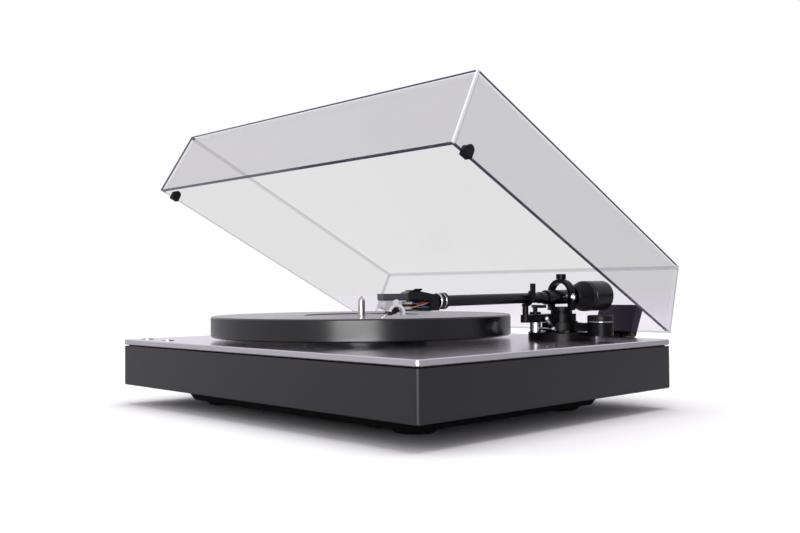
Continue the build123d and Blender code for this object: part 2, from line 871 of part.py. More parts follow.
# Bridge: clamped round the pillar, it carries the arm rest and guides the cue platform
rest_x = rest_point.X
rest_y = rest_point.Y
bridge_radius = pillar_radius + bridge_ring
with BuildSketch(level(0, 0, collar_top)) as rest_lobe:
    with Locations((pivot_x, pivot_y)):
        Circle(rest_lobe_root)
    with Locations((rest_x, rest_y)):
        Circle(rest_lobe_radius)
    make_hull()
with BuildSketch(level(0, 0, collar_top)) as lift_lobe:
    with Locations((pivot_x, pivot_y)):
        Circle(pillar_radius)
    with Locations((lift_x, lift_y)):
        Circle(lift_cylinder_radius + lift_lobe_wall)
    make_hull()
with BuildPart() as arm_bridge:
    extrude(rest_lobe.sketch, amount=bridge_thickness)
    extrude(lift_lobe.sketch, amount=bridge_thickness)
    with BuildSketch(level(pivot_x, pivot_y, collar_top)):
        Circle(bridge_radius)
    extrude(amount=bridge_thickness)
    with BuildSketch(level(lift_x, lift_y, collar_top + bridge_thickness)):
        Circle(lift_guide_radius)
    extrude(amount=lift_guide_height)
    with BuildSketch(level(pivot_x, pivot_y, collar_top)):
        Circle(pillar_radius + running_fit)
    extrude(amount=bridge_thickness, mode=Mode.SUBTRACT)
    with BuildSketch(level(lift_x, lift_y, collar_top)):
        Circle(lift_stem_radius + running_fit)
    extrude(amount=bridge_thickness + lift_guide_height, mode=Mode.SUBTRACT)
    ring_groove = [
        (bridge_radius - groove_depth, collar_top + bridge_thickness / 2),
        (bridge_radius + groove_depth, collar_top + bridge_thickness / 2),
        (bridge_radius + groove_depth, collar_top + bridge_thickness / 2 + groove_depth),
        (bridge_radius - groove_depth, collar_top + bridge_thickness / 2 + groove_depth),
    ]
    revolve(outline(pivot_side, ring_groove), axis=pivot_axis, mode=Mode.SUBTRACT)
arm_bridge.part.label = "arm_bridge"
export_step(arm_bridge.part, "parts/arm_bridge.step")

# Arm rest: a post with a cradle that is open above and on the platter's side
cradle_bore = arm_tube_radius + rest_clearance
rest_plane = Plane(origin=rest_point, x_dir=arm_right, z_dir=arm_level)


def ring_sector(plane, inner, outer, start, end):
    """A flat piece of a ring between two angles, on a plane."""
    with BuildSketch(plane) as sector:
        with BuildLine():
            first = CenterArc((0, 0), outer, start, end - start)
            second = CenterArc((0, 0), inner, start, end - start)
            Line(first @ 0, second @ 0)
            Line(first @ 1, second @ 1)
        make_face()
    return sector.sketch


with BuildPart() as arm_rest:
    cradle_plane = rest_plane.offset(-rest_width / 2)
    extrude(ring_sector(cradle_plane, cradle_bore, rest_radius, cradle_open_to, 360), amount=rest_width)
    with BuildSketch(cradle_plane):
        Circle(rest_radius)
        with Locations((cradle_bore, 0)):
            Rectangle(
                rest_radius,
                cradle_wall_height,
                align=(Align.MIN, Align.MIN),
                mode=Mode.INTERSECT,
            )
    extrude(amount=rest_width)
    with BuildSketch(level(rest_x, rest_y, collar_top + bridge_thickness)):
        Circle(rest_post_radius)
    extrude(amount=rest_point.Z - cradle_bore - collar_top - bridge_thickness - rest_clearance)
arm_rest.part.label = "arm_rest"
export_step(arm_rest.part, "parts/arm_rest.step")

# Latch: a curved hook with an upright finger that rides round the cradle
latch_bore = rest_radius + running_fit
with BuildPart() as rest_latch:
    latch_plane = rest_plane.offset(-latch_width / 2)
    extrude(ring_sector(latch_plane, latch_bore, latch_radius, latch_from, latch_to), amount=latch_width)
    with BuildSketch(latch_plane):
        with Locations((latch_bore, 0)):
            Rectangle(
                latch_radius - latch_bore + latch_finger_extra,
                latch_finger_height,
                align=(Align.MIN, Align.MIN),
            )
    extrude(amount=latch_finger_width)
rest_latch.part.label = "rest_latch"
export_step(rest_latch.part, "parts/rest_latch.step")

# Lift cylinder standing on the arm base
cue_axis_z = deck_top + cue_height
with BuildPart() as lift_cylinder:
    with BuildSketch(level(lift_x, lift_y, arm_base_top)):
        Circle(lift_cylinder_radius)
    extrude(amount=collar_height)
    with BuildSketch(level(lift_x, lift_y, collar_top)):
        Circle(lift_stem_radius + running_fit)
    extrude(amount=-collar_height / 2, mode=Mode.SUBTRACT)
    with BuildSketch(Plane(origin=(lift_x, lift_y, cue_axis_z), x_dir=(0, 1, 0), z_dir=(1, 0, 0))):
        Circle(cue_spigot_radius + running_fit)
    extrude(amount=lift_cylinder_radius, mode=Mode.SUBTRACT)
lift_cylinder.part.label = "lift_cylinder"
export_step(lift_cylinder.part, "parts/lift_cylinder.step")

# Cue lever: a spigot in the cylinder, a tapered shaft and a tapered handle with a round tip
shaft_end_x = lift_x + cue_shaft_length
handle_dir = Vector(0, -cos(radians(cue_handle_slope)), sin(radians(cue_handle_slope)))
handle_root = Vector(shaft_end_x, lift_y, cue_axis_z)
handle_tip = handle_root + handle_dir * cue_handle_length
with BuildPart() as cue_lever:
    lever_side = Plane(origin=(lift_x, lift_y, cue_axis_z), x_dir=(1, 0, 0), z_dir=(0, -1, 0))
    lever_outline = [
        (lift_cylinder_radius / 2, 0),
        (lift_cylinder_radius / 2, cue_spigot_radius),
        (lift_cylinder_radius + loose_fit, cue_spigot_radius),
        (lift_cylinder_radius + loose_fit, cue_shaft_root_radius),
        (cue_shaft_length, cue_shaft_radius),
        (cue_shaft_length + cue_shaft_radius, cue_shaft_cap_radius),
        (cue_shaft_length + cue_shaft_radius, 0),
    ]
    revolve(
        outline(lever_side, lever_outline),
        axis=Axis((lift_x, lift_y, cue_axis_z), (1, 0, 0)),
    )
    with BuildSketch(Plane(origin=handle_root, z_dir=handle_dir)):
        Circle(cue_handle_root_radius)
    with BuildSketch(Plane(origin=handle_tip, z_dir=handle_dir)):
        Circle(cue_handle_end_radius)
    loft()
    with Locations(handle_tip):
        Sphere(cue_handle_ball_radius)
cue_lever.part.label = "cue_lever"
export_step(cue_lever.part, "parts/cue_lever.step")

# Cue platform: a curved rail under the arm on a stem in the lift cylinder
rail_bottom = deck_top + lift_rail_rise
stem_bottom = collar_top - collar_height / 2 + lift_travel + running_fit
with BuildPart() as cue_platform:
    with BuildSketch(level(pivot_x, pivot_y, rail_bottom)):
        with BuildLine():
            rail_outer = lift_circle + lift_rail_width / 2
            rail_inner = lift_circle - lift_rail_width / 2
            sweep_angle = lift_rail_end - lift_rail_start
            outer_arc = CenterArc((0, 0), rail_outer, lift_rail_start, sweep_angle)
            inner_arc = CenterArc((0, 0), rail_inner, lift_rail_start, sweep_angle)
            Line(outer_arc @ 0, inner_arc @ 0)
            Line(outer_arc @ 1, inner_arc @ 1)
        make_face()
    extrude(amount=lift_rail_height)
    fillet(cue_platform.edges().filter_by(Axis.Z), lift_rail_round)
    with BuildSketch(level(lift_x, lift_y, stem_bottom)):
        Circle(lift_stem_radius)
    extrude(amount=rail_bottom - stem_bottom)
cue_platform.part.label = "cue_platform"
export_step(cue_platform.part, "parts/cue_platform.step")

# Anti-skate unit: a small drum on a bar from the pillar collar, with its own knob and pin
skate_knob_z = deck_top + skate_knob_bottom
with BuildPart() as skate_drum:
    with BuildSketch(level(skate_x, pivot_y, deck_top + skate_bottom)):
        Circle(skate_radius)
    extrude(amount=skate_knob_bottom - skate_bottom - loose_fit)
    with BuildSketch(level(pivot_x, pivot_y, deck_top + skate_bar_bottom)):
        with Locations((skate_distance / 2, 0)):
            Rectangle(skate_distance, skate_bar_width)
        Circle(collar_radius + bridge_ring)
    extrude(amount=skate_bar_height)
    with BuildSketch(level(pivot_x, pivot_y, deck_top + skate_bar_bottom)):
        Circle(collar_radius + running_fit)
    extrude(amount=skate_bar_height, mode=Mode.SUBTRACT)
    with BuildSketch(level(skate_x, pivot_y, skate_knob_z - loose_fit)):
        Circle(lift_stem_radius)
    extrude(amount=skate_knob_height / 2)
skate_drum.part.label = "skate_drum"
export_step(skate_drum.part, "parts/skate_drum.step")

with BuildPart() as skate_knob:
    with BuildSketch(level(skate_x, pivot_y, skate_knob_z)):
        Circle(skate_radius)
        Circle(lift_stem_radius + running_fit, mode=Mode.SUBTRACT)
    extrude(amount=skate_knob_height / 2)
    with BuildSketch(level(skate_x, pivot_y, skate_knob_z + skate_knob_height / 2)):
        Circle(skate_radius)
    extrude(amount=skate_knob_height / 2)
    chamfer(skate_knob.edges().group_by(Axis.Z)[-1], deck_chamfer)
    with BuildSketch(level(skate_x, pivot_y, skate_knob_z + skate_knob_height)):
        Circle(skate_pin_radius)
    extrude(amount=skate_pin_height)
skate_knob.part.label = "skate_knob"
export_step(skate_knob.part, "parts/skate_knob.step")

# Yoke: turns on the pillar and carries the horizontal bearing on its two sides
yoke_inner = yoke_half_width - yoke_band
arch_z = deck_top + yoke_arch_height
with BuildPart() as arm_yoke:
    with BuildSketch(level(pivot_x, pivot_y, yoke_bottom)):
        Circle(yoke_base_radius)
    extrude(amount=yoke_base_height)
    with BuildSketch(yoke_plane.offset(-yoke_depth / 2)):
        with BuildLine():
            right_side = Line((yoke_half_width, yoke_bottom), (yoke_half_width, arch_z))
            top_arc = CenterArc((0, arch_z), yoke_half_width, 0, 180)
            Line(top_arc @ 1, (-yoke_half_width, yoke_bottom))
            Line((-yoke_half_width, yoke_bottom), (yoke_half_width, yoke_bottom))
        make_face()
        with BuildLine():
            Line((yoke_inner, yoke_base_top), (yoke_inner, arch_z))
            inner_top = CenterArc((0, arch_z), yoke_inner, 0, 180)
            Line(inner_top @ 1, (-yoke_inner, yoke_base_top))
            Line((-yoke_inner, yoke_base_top), (yoke_inner, yoke_base_top))
        make_face(mode=Mode.SUBTRACT)
    extrude(amount=yoke_depth)
    with BuildSketch(level(pivot_x, pivot_y, yoke_bottom - yoke_shaft_length)):
        Circle(yoke_shaft_radius)
    extrude(amount=yoke_shaft_length)
    with BuildSketch(Plane(origin=gimbal - arm_right * yoke_half_width, z_dir=arm_right)):
        Circle(bearing_screw_radius + running_fit)
    extrude(amount=2 * yoke_half_width, mode=Mode.SUBTRACT)
arm_yoke.part.label = "arm_yoke"
export_step(arm_yoke.part, "parts/arm_yoke.step")

# Side bearing screws and the nut on top of the yoke
with BuildPart() as bearing_screws:
    for side in (-1, 1):
        screw_axis = arm_right * side
        screw_plane = Plane(origin=gimbal, x_dir=screw_axis, z_dir=screw_axis.cross(up))
        screw_outline = [
            (bearing_point_tip, 0),
            (bearing_point_tip, bearing_point_radius),
            (sleeve_radius + loose_fit, bearing_point_radius),
            (sleeve_radius + 2 * loose_fit, bearing_screw_radius),
            (yoke_half_width, bearing_screw_radius),
            (yoke_half_width, bearing_screw_head),
            (yoke_half_width + bearing_screw_rise, bearing_screw_head - bearing_screw_rise / 3),
            (yoke_half_width + bearing_screw_rise, 0),
        ]
        revolve(outline(screw_plane, screw_outline), axis=Axis(gimbal, screw_axis))
bearing_screws.part.label = "bearing_screws"
export_step(bearing_screws.part, "parts/bearing_screws.step")

with BuildPart() as yoke_nut:
    yoke_top = arch_z + yoke_half_width
    with BuildSketch(level(pivot_x, pivot_y, yoke_top)):
        Circle(top_nut_radius)
    extrude(amount=top_nut_height)
    with BuildSketch(level(pivot_x, pivot_y, yoke_top - yoke_band / 2)):
        Circle(top_nut_radius / 2)
    extrude(amount=yoke_band / 2)
    add(arm_yoke.part, mode=Mode.SUBTRACT)
    with BuildSketch(Plane(origin=(pivot_x, pivot_y, yoke_top + top_nut_height), x_dir=arm_right)):
        Rectangle(top_nut_slot, 3 * top_nut_radius)
    extrude(amount=-top_nut_height / 3, mode=Mode.SUBTRACT)
yoke_nut.part.label = "yoke_nut"
export_step(yoke_nut.part, "parts/yoke_nut.step")

# Arm: sleeve with the threaded stub behind it, and the long tube in front
with BuildPart() as arm_sleeve:
    sleeve_outline = [
        (stub_end, 0),
        (stub_end, stub_radius),
        (sleeve_start, stub_radius),
        (sleeve_start, sleeve_radius),
        (sleeve_end, sleeve_radius),
        (sleeve_end, neck_sleeve_radius),
        (neck_sleeve_end, neck_sleeve_radius),
        (neck_sleeve_end, 0),
    ]
    revolve(outline(arm_side, sleeve_outline), axis=arm_axis)
    with BuildSketch(across_arm(neck_sleeve_end)):
        Circle(arm_tube_radius)
    extrude(amount=sleeve_end - neck_sleeve_end, mode=Mode.SUBTRACT)
    for side in (-1, 1):
        socket_plane = Plane(origin=gimbal + arm_right * side * bearing_socket_floor, z_dir=arm_right * side)
        with BuildSketch(socket_plane):
            Circle(bearing_point_radius + running_fit)
        extrude(amount=sleeve_radius, mode=Mode.SUBTRACT)
arm_sleeve.part.label = "arm_sleeve"
export_step(arm_sleeve.part, "parts/arm_sleeve.step")

with BuildPart() as arm_tube:
    with BuildSketch(across_arm(sleeve_end)):
        Circle(arm_tube_radius)
        Circle(arm_tube_radius - arm_tube_wall, mode=Mode.SUBTRACT)
    extrude(amount=bend_distance - sleeve_end - shell_body_start)
arm_tube.part.label = "arm_tube"
export_step(arm_tube.part, "parts/arm_tube.step")

# Locking collar that clamps the headshell to the tube
with BuildPart() as lock_collar:
    groove_start = collar_end - collar_groove_setback
    groove_floor_end = groove_start + collar_groove_flank + collar_groove_width
    collar_outline = [
        (collar_start - collar_nose, arm_tube_radius + running_fit),
        (collar_start - collar_nose, lock_collar_bore),
        (collar_start, lock_collar_radius),
        (groove_start, lock_collar_radius),
        (groove_start + collar_groove_flank, lock_collar_radius - collar_groove_depth),
        (groove_floor_end, lock_collar_radius - collar_groove_depth),
        (groove_floor_end + collar_lip_flank, lock_collar_radius),
        (collar_end, lock_collar_radius - collar_edge),
        (collar_end, arm_tube_radius + running_fit),
    ]
    revolve(outline(arm_side, collar_outline), axis=arm_axis)
lock_collar.part.label = "lock_collar"
export_step(lock_collar.part, "parts/lock_collar.step")

# Headshell: neck, sloping top beam, lower tongue and one side wall round the leads, and the plate
shell_bottom = shell_plate_top - shell_plate_thickness
shell_floor = shell_plate_top - shell_body_depth
with BuildPart() as headshell:
    neck_outline = [
        (shell_body_start, shell_floor),
        (shell_body_start, shell_neck_top),
        (shell_tongue_end - shell_wall, shell_plate_top + shell_tongue),
        (shell_shoulder, shell_plate_top + shell_tongue),
        (shell_shoulder_end, shell_plate_top),
        (shell_end, shell_plate_top),
        (shell_end, shell_bottom),
        (shell_shoulder, shell_bottom),
        (shell_window_start, shell_bottom - shell_window_roof),
        (shell_window_start, shell_floor + shell_tongue),
        (shell_tongue_end, shell_floor + shell_tongue / 2),
        (shell_tongue_end, shell_floor),
    ]
    extrude(outline(shell_side, neck_outline), amount=shell_width / 2, both=True)
    wall_outline = [
        (shell_body_start, shell_floor),
        (shell_body_start, 0),
        (shell_window_start, shell_bottom),
        (shell_shoulder, shell_bottom),
        (shell_tongue_end, shell_floor),
    ]
    far_side = shell_side.offset(shell_width / 2)
    extrude(outline(far_side, wall_outline), amount=-shell_wall / 2)
    with BuildSketch(shell_top.offset(shell_floor)):
        with BuildLine():
            Polyline(
                (shell_body_start, -shell_neck_radius),
                (shell_taper_end, -shell_width / 2),
                (shell_end, -shell_width / 2),
                (shell_end, shell_width / 2),
                (shell_taper_end, shell_width / 2),
                (shell_body_start, shell_neck_radius),
                close=True,
            )
        make_face()
    extrude(amount=shell_body_depth + 2 * shell_tongue, mode=Mode.INTERSECT)
    with BuildSketch(across_arm(collar_end + loose_fit)):
        Circle(2 * shell_width)
    extrude(amount=-shell_width, mode=Mode.SUBTRACT)
    with BuildSketch(across_arm(shell_plug_start)):
        Circle(arm_tube_radius - arm_tube_wall - running_fit)
    extrude(amount=bend_distance + shell_wall - shell_plug_start)
headshell.part.label = "headshell"
export_step(headshell.part, "parts/headshell.step")

# Cartridge under the plate: squared body with a sloping front, and four rear pins
cartridge_end = shell_end - cartridge_setback
cartridge_top = shell_bottom
with BuildPart() as cartridge:
    body_outline = [
        (cartridge_start, cartridge_top),
        (cartridge_end, cartridge_top),
        (cartridge_end, cartridge_top - cartridge_height + cartridge_nose_height),
        (cartridge_end - cartridge_nose_length, cartridge_top - cartridge_height),
        (cartridge_start + cartridge_heel_length, cartridge_top - cartridge_height),
        (cartridge_start, cartridge_top - cartridge_height + cartridge_heel_height),
    ]
    extrude(outline(shell_side, body_outline), amount=cartridge_width / 2, both=True)
    fillet(cartridge.edges().filter_by(Axis.Z), cartridge_edge)
    pin_plane = Plane(
        origin=bend + shell_along * cartridge_start + up * (cartridge_top - cartridge_height / 2),
        x_dir=shell_right,
        z_dir=shell_along,
    )
    with BuildSketch(pin_plane):
        with GridLocations(lead_spacing, lead_spacing, 2, 2):
            Circle(lead_radius)
    extrude(amount=-cartridge_pin_length)
cartridge.part.label = "cartridge"
export_step(cartridge.part, "parts/cartridge.step")

# Stylus: a sloping holder under the body with the cantilever at its front
stylus_root = cartridge_top - cartridge_height
with BuildPart() as stylus:
    holder_outline = [
        (stylus_reach - holder_back, stylus_root),
        (stylus_reach - holder_front, stylus_root),
        (stylus_reach - holder_nose, stylus_root - holder_nose_drop),
        (stylus_reach - holder_lip, stylus_root - holder_lip_drop),
        (stylus_reach - holder_heel, stylus_root - holder_heel_drop),
    ]
    extrude(outline(shell_side, holder_outline), amount=stylus_half_width, both=True)
    cantilever_start = stylus_reach - cantilever_setback
    cantilever_root = bend + shell_along * cantilever_start + up * (stylus_root - cantilever_drop)
    cantilever_end = bend + shell_along * stylus_reach - up * (stylus_drop - cantilever_radius)
    with BuildSketch(Plane(origin=cantilever_root, z_dir=cantilever_end - cantilever_root)):
        Circle(cantilever_radius)
    extrude(amount=(cantilever_end - cantilever_root).length)
stylus.part.label = "stylus"
export_step(stylus.part, "parts/stylus.step")

# Finger lift: a thin bent blade on the plate's near side
blade_bottom = shell_plate_top + shell_tongue
blade_middle = blade_tab_start + blade_tab_length / 2
with BuildPart() as finger_lift:
    with BuildSketch(shell_top.offset(blade_bottom)):
        with Locations((blade_middle, 0)):
            RectangleRounded(blade_tab_length, shell_width - 2 * blade_inset, blade_tab_corner)
    extrude(amount=blade_thickness)
    blade_plane = Plane(
        origin=bend + shell_along * blade_middle + up * blade_bottom,
        x_dir=shell_right,
        z_dir=shell_along,
    )
    blade_root = shell_width / 2 - 2 * blade_inset
    blade_end = shell_width / 2 + blade_reach
    blade_outline = [
        (blade_root, 0),
        (blade_root, blade_thickness),
        (shell_width / 2 + blade_flat, blade_thickness),
        (blade_end, blade_thickness + blade_rise),
        (blade_end + blade_tip, blade_thickness + blade_rise - blade_tip),
        (shell_width / 2 + blade_flat + blade_bend, 0),
    ]
    extrude(outline(blade_plane, blade_outline), amount=blade_half_width, both=True)
finger_lift.part.label = "finger_lift"
export_step(finger_lift.part, "parts/finger_lift.step")

# Headshell leads: four thin wires from the neck to the cartridge pins


def shell_point(forward, sideways, height):
    """A point by its place along, across and above the headshell's line."""
    return bend + shell_along * forward + shell_right * sideways + up * height


def lead_tube(points):
    """A thin wire along straight runs joined by arcs."""
    with BuildLine() as route:
        FilletPolyline(*points, radius=lead_bend)
    with BuildSketch(Plane(origin=points[0], z_dir=route.line % 0)) as end_face:
        Circle(lead_radius)
    with BuildPart() as tube:
        sweep(end_face.sketch, path=route.line)
    return tube.part


pin_end = cartridge_start - cartridge_pin_length
pin_height = cartridge_top - cartridge_height / 2
with BuildPart() as headshell_leads:
    for column in (-1, 1):
        for row in (-1, 1):
            pin_side = column * lead_spacing / 2
            pin_level = pin_height + row * lead_spacing / 2
            plug_side = pin_side * lead_spread
            plug_level = pin_height + row * lead_spread
            lead_route = [
                shell_point(shell_window_start, plug_side, plug_level),
                shell_point(shell_window_start + lead_run, plug_side, plug_level),
                shell_point(pin_end - lead_run, pin_side, pin_level),
                shell_point(pin_end, pin_side, pin_level),
            ]
            add(lead_tube(lead_route))
headshell_leads.part.label = "headshell_leads"
export_step(headshell_leads.part, "parts/headshell_leads.step")

# Counterweight: a liner on the stub's thread, the weight and the stylus force dial in front
with BuildPart() as weight_liner:
    liner_outline = [
        (-liner_start, stub_radius + running_fit),
        (-liner_start, weight_bore - running_fit),
        (-liner_end, weight_bore - running_fit),
        (-liner_end, stub_radius + running_fit),
    ]
    revolve(outline(arm_side, liner_outline), axis=arm_axis)
weight_liner.part.label = "weight_liner"
export_step(weight_liner.part, "parts/weight_liner.step")

with BuildPart() as force_dial:
    dial_outline = [
        (-weight_start, weight_bore),
        (-weight_start, weight_cone_radius),
        (-weight_cone_end + dial_rim, weight_radius),
        (-weight_cone_end, weight_radius),
        (-weight_cone_end, weight_bore),
    ]
    revolve(outline(arm_side, dial_outline), axis=arm_axis)
force_dial.part.label = "force_dial"
export_step(force_dial.part, "parts/force_dial.step")

with BuildPart() as counterweight:
    weight_outline = [
        (-weight_cone_end - loose_fit, weight_bore),
        (-weight_cone_end - loose_fit, weight_radius - weight_edge / 2),
        (-weight_cone_end - weight_edge / 2, weight_radius),
        (-weight_end + weight_edge, weight_radius),
        (-weight_end, weight_radius - weight_edge),
        (-weight_end, 0),
        (-liner_end - loose_fit, 0),
        (-liner_end - loose_fit, weight_bore),
    ]
    revolve(outline(arm_side, weight_outline), axis=arm_axis)
counterweight.part.label = "counterweight"
export_step(counterweight.part, "parts/counterweight.step")

# Cover: five bonded clear sheets cut from one tapered block, tilted about the hinge
tilt = radians(cover_angle)
cover_back = Vector(0, cos(tilt), -sin(tilt))
cover_up = Vector(0, sin(tilt), cos(tilt))
hinge_point = Vector(0, hinge_y, hinge_z)
rim_point = hinge_point - cover_back * rim_forward + cover_up * rim_up
cover_floor = Plane(origin=rim_point, x_dir=(1, 0, 0), z_dir=cover_up)
cover_profile = Plane(origin=rim_point, x_dir=cover_back, z_dir=(1, 0, 0))
cover_front_view = Plane(origin=rim_point, x_dir=(1, 0, 0), z_dir=-cover_back)
sheet_height = cover_height - cover_wall
sheet_share = sheet_height / cover_height

with BuildPart() as cover_block:
    with BuildSketch(cover_floor):
        with Locations((0, -cover_depth / 2)):
            Rectangle(cover_width, cover_depth)
    with BuildSketch(cover_floor.offset(cover_height)):
        with Locations((0, -(cover_depth - cover_draft_front + cover_draft_rear) / 2)):
            Rectangle(cover_width - 2 * cover_draft_side, cover_depth - cover_draft_front - cover_draft_rear)
    loft(ruled=True)

front_sheet = [
    (-cover_depth, 0),
    (-cover_depth + cover_wall, 0),
    (-cover_depth + cover_wall + cover_draft_front * sheet_share, sheet_height),
    (-cover_depth, sheet_height),
]
rear_sheet = [
    (0, 0),
    (-cover_wall, 0),
    (-cover_wall - cover_draft_rear * sheet_share, sheet_height),
    (0, sheet_height),
]
between_sheets = [
    (-cover_depth + cover_wall, 0),
    (-cover_wall, 0),
    (-cover_wall - cover_draft_rear * sheet_share, sheet_height),
    (-cover_depth + cover_wall + cover_draft_front * sheet_share, sheet_height),
]
top_sheet = [
    (-cover_depth, sheet_height),
    (0, sheet_height),
    (0, cover_height),
    (-cover_depth, cover_height),
]


def side_sheet(hand):
    """The section of the left (-1) or right (1) sheet, seen from the front."""
    edge = hand * cover_width / 2
    wall = hand * cover_wall
    lean = hand * cover_draft_side * sheet_share
    return [(edge, 0), (edge - wall, 0), (edge - wall - lean, sheet_height), (edge, sheet_height)]


sheet_sections = (("cover_front", front_sheet), ("cover_rear", rear_sheet), ("cover_top", top_sheet))
for cover_name, section in sheet_sections:
    with BuildPart() as sheet:
        add(cover_block.part)
        extrude(outline(cover_profile, section), amount=cover_width, both=True, mode=Mode.INTERSECT)
    sheet.part.label = cover_name
    export_step(sheet.part, f"parts/{cover_name}.step")

side_panels = {}
for cover_name, hand in (("cover_left", -1), ("cover_right", 1)):
    with BuildPart() as sheet:
        add(cover_block.part)
        extrude(outline(cover_profile, between_sheets), amount=cover_width, both=True, mode=Mode.INTERSECT)
        extrude(outline(cover_front_view, side_sheet(hand)), amount=cover_depth, mode=Mode.INTERSECT)
    side_panels[hand] = sheet.part
    sheet.part.label = cover_name
    export_step(sheet.part, f"parts/{cover_name}.step")

# Rubber bumpers clipped over the bottom edges of the side sheets
with BuildPart() as cover_bumpers:
    for hand in (-1, 1):
        bumper_outside = hand * (cover_width / 2 + bumper_wall)
        with BuildSketch(cover_profile.offset(bumper_outside)):
            with Locations((-bumper_back, -bumper_pad)):
                Rectangle(
                    2 * bumper_radius,
                    bumper_rise - bumper_radius + bumper_pad,
                    align=(Align.CENTER, Align.MIN),
                )
            with Locations((-bumper_back, bumper_rise - bumper_radius)):
                Circle(bumper_radius)
        extrude(amount=-hand * (cover_wall + 2 * bumper_wall))
        add(side_panels[hand], mode=Mode.SUBTRACT)
cover_bumpers.part.label = "cover_bumpers"
export_step(cover_bumpers.part, "parts/cover_bumpers.step")

# Hinges: one of each piece is made in the middle and set at both places
ear_inside = knuckle_width / 2 + loose_fit
ear_outside = ear_inside + ear_width
hinge_places = ((-hinge_spacing / 2, 0, 0), (hinge_spacing / 2, 0, 0))
hinge_side = Plane(origin=(0, 0, 0), x_dir=(0, 1, 0), z_dir=(1, 0, 0))
bracket_front = Plane(origin=(0, plinth_rear, bracket_bottom), x_dir=(-1, 0, 0), z_dir=(0, 1, 0))
with BuildSketch(hinge_side) as ear:
    with Locations((hinge_y, hinge_z)):
        Circle(ear_radius)
    with Locations((plinth_rear + bracket_thickness / 2, bracket_bottom + bracket_height - ear_radius)):
        Rectangle(bracket_thickness, 2 * ear_radius)
    make_hull()
with BuildPart() as bracket:
    with BuildSketch(bracket_front):
        with Locations((0, bracket_height / 2)):
            RectangleRounded(bracket_width, bracket_height, hinge_corner)
    extrude(amount=bracket_thickness)
    extrude(ear.sketch.moved(Location((ear_inside, 0, 0))), amount=ear_width)
    extrude(ear.sketch.moved(Location((-ear_outside, 0, 0))), amount=ear_width)
    with BuildSketch(hinge_side.offset(-ear_outside)):
        with Locations((hinge_y, hinge_z)):
            Circle(hinge_pin_radius + running_fit)
    extrude(amount=2 * ear_outside, mode=Mode.SUBTRACT)
with BuildPart() as hinge_brackets:
    with Locations(*hinge_places):
        add(bracket.part)
hinge_brackets.part.label = "hinge_brackets"
export_step(hinge_brackets.part, "parts/hinge_brackets.step")

# Leaf: a plate that slips into the pocket, a neck and the knuckle round the pin
rear_view = Plane(origin=rim_point, x_dir=(-1, 0, 0), z_dir=cover_back)
with BuildPart() as leaf:
    with BuildSketch(rear_view.offset(leaf_back)):
        with Locations((0, (leaf_top + leaf_bottom) / 2)):
            RectangleRounded(leaf_width, leaf_top - leaf_bottom, hinge_corner)
        with Locations((0, leaf_bottom)):
            Rectangle(leaf_neck_width, 2 * rim_up, align=(Align.CENTER, Align.CENTER))
    extrude(amount=leaf_thickness)
    with BuildSketch(hinge_side.offset(-knuckle_width / 2)):
        with Locations((hinge_y, hinge_z)):
            Circle(knuckle_radius)
    extrude(amount=knuckle_width)
    with BuildSketch(hinge_side.offset(-knuckle_width / 2)):
        with Locations((hinge_y, hinge_z)):
            Circle(hinge_pin_radius + running_fit)
    extrude(amount=knuckle_width, mode=Mode.SUBTRACT)
with BuildPart() as hinge_leaves:
    with Locations(*hinge_places):
        add(leaf.part)
hinge_leaves.part.label = "hinge_leaves"
export_step(hinge_leaves.part, "parts/hinge_leaves.step")

# Pocket: a clear block with bevelled edges on the rear sheet, slotted for the leaf
with BuildPart() as pocket:
    with BuildSketch(rear_view.offset(-pocket_bevel)):
        with Locations((0, pocket_height / 2)):
            Rectangle(pocket_width, pocket_height)
    extrude(amount=pocket_back + pocket_bevel)
    outer_face = pocket.faces().sort_by(Axis(rim_point, cover_back))[-1]
    chamfer(outer_face.edges().sort_by(Axis.Z)[1:], pocket_bevel)
    with BuildSketch(rear_view.offset(leaf_back - running_fit)):
        with Locations((0, leaf_top / 2)):
            Rectangle(leaf_width + 2 * running_fit, leaf_top)
    extrude(amount=leaf_thickness + 2 * running_fit, mode=Mode.SUBTRACT)
    add(cover_block.part, mode=Mode.SUBTRACT)
with BuildPart() as hinge_pockets:
    with Locations(*hinge_places):
        add(pocket.part)
hinge_pockets.part.label = "hinge_pockets"
export_step(hinge_pockets.part, "parts/hinge_pockets.step")

# Pins: each has a wide head at both ends
with BuildPart() as hinge_pin:
    with BuildSketch(hinge_side.offset(-ear_outside)):
        with Locations((hinge_y, hinge_z)):
            Circle(hinge_pin_radius)
    extrude(amount=2 * ear_outside)
    with BuildSketch(hinge_side.offset(-ear_outside), hinge_side.offset(ear_outside + hinge_pin_head)):
        with Locations((hinge_y, hinge_z)):
            Circle(hinge_pin_head_radius)
    extrude(amount=-hinge_pin_head)
with BuildPart() as hinge_pins:
    with Locations(*hinge_places):
        add(hinge_pin.part)
hinge_pins.part.label = "hinge_pins"
export_step(hinge_pins.part, "parts/hinge_pins.step")

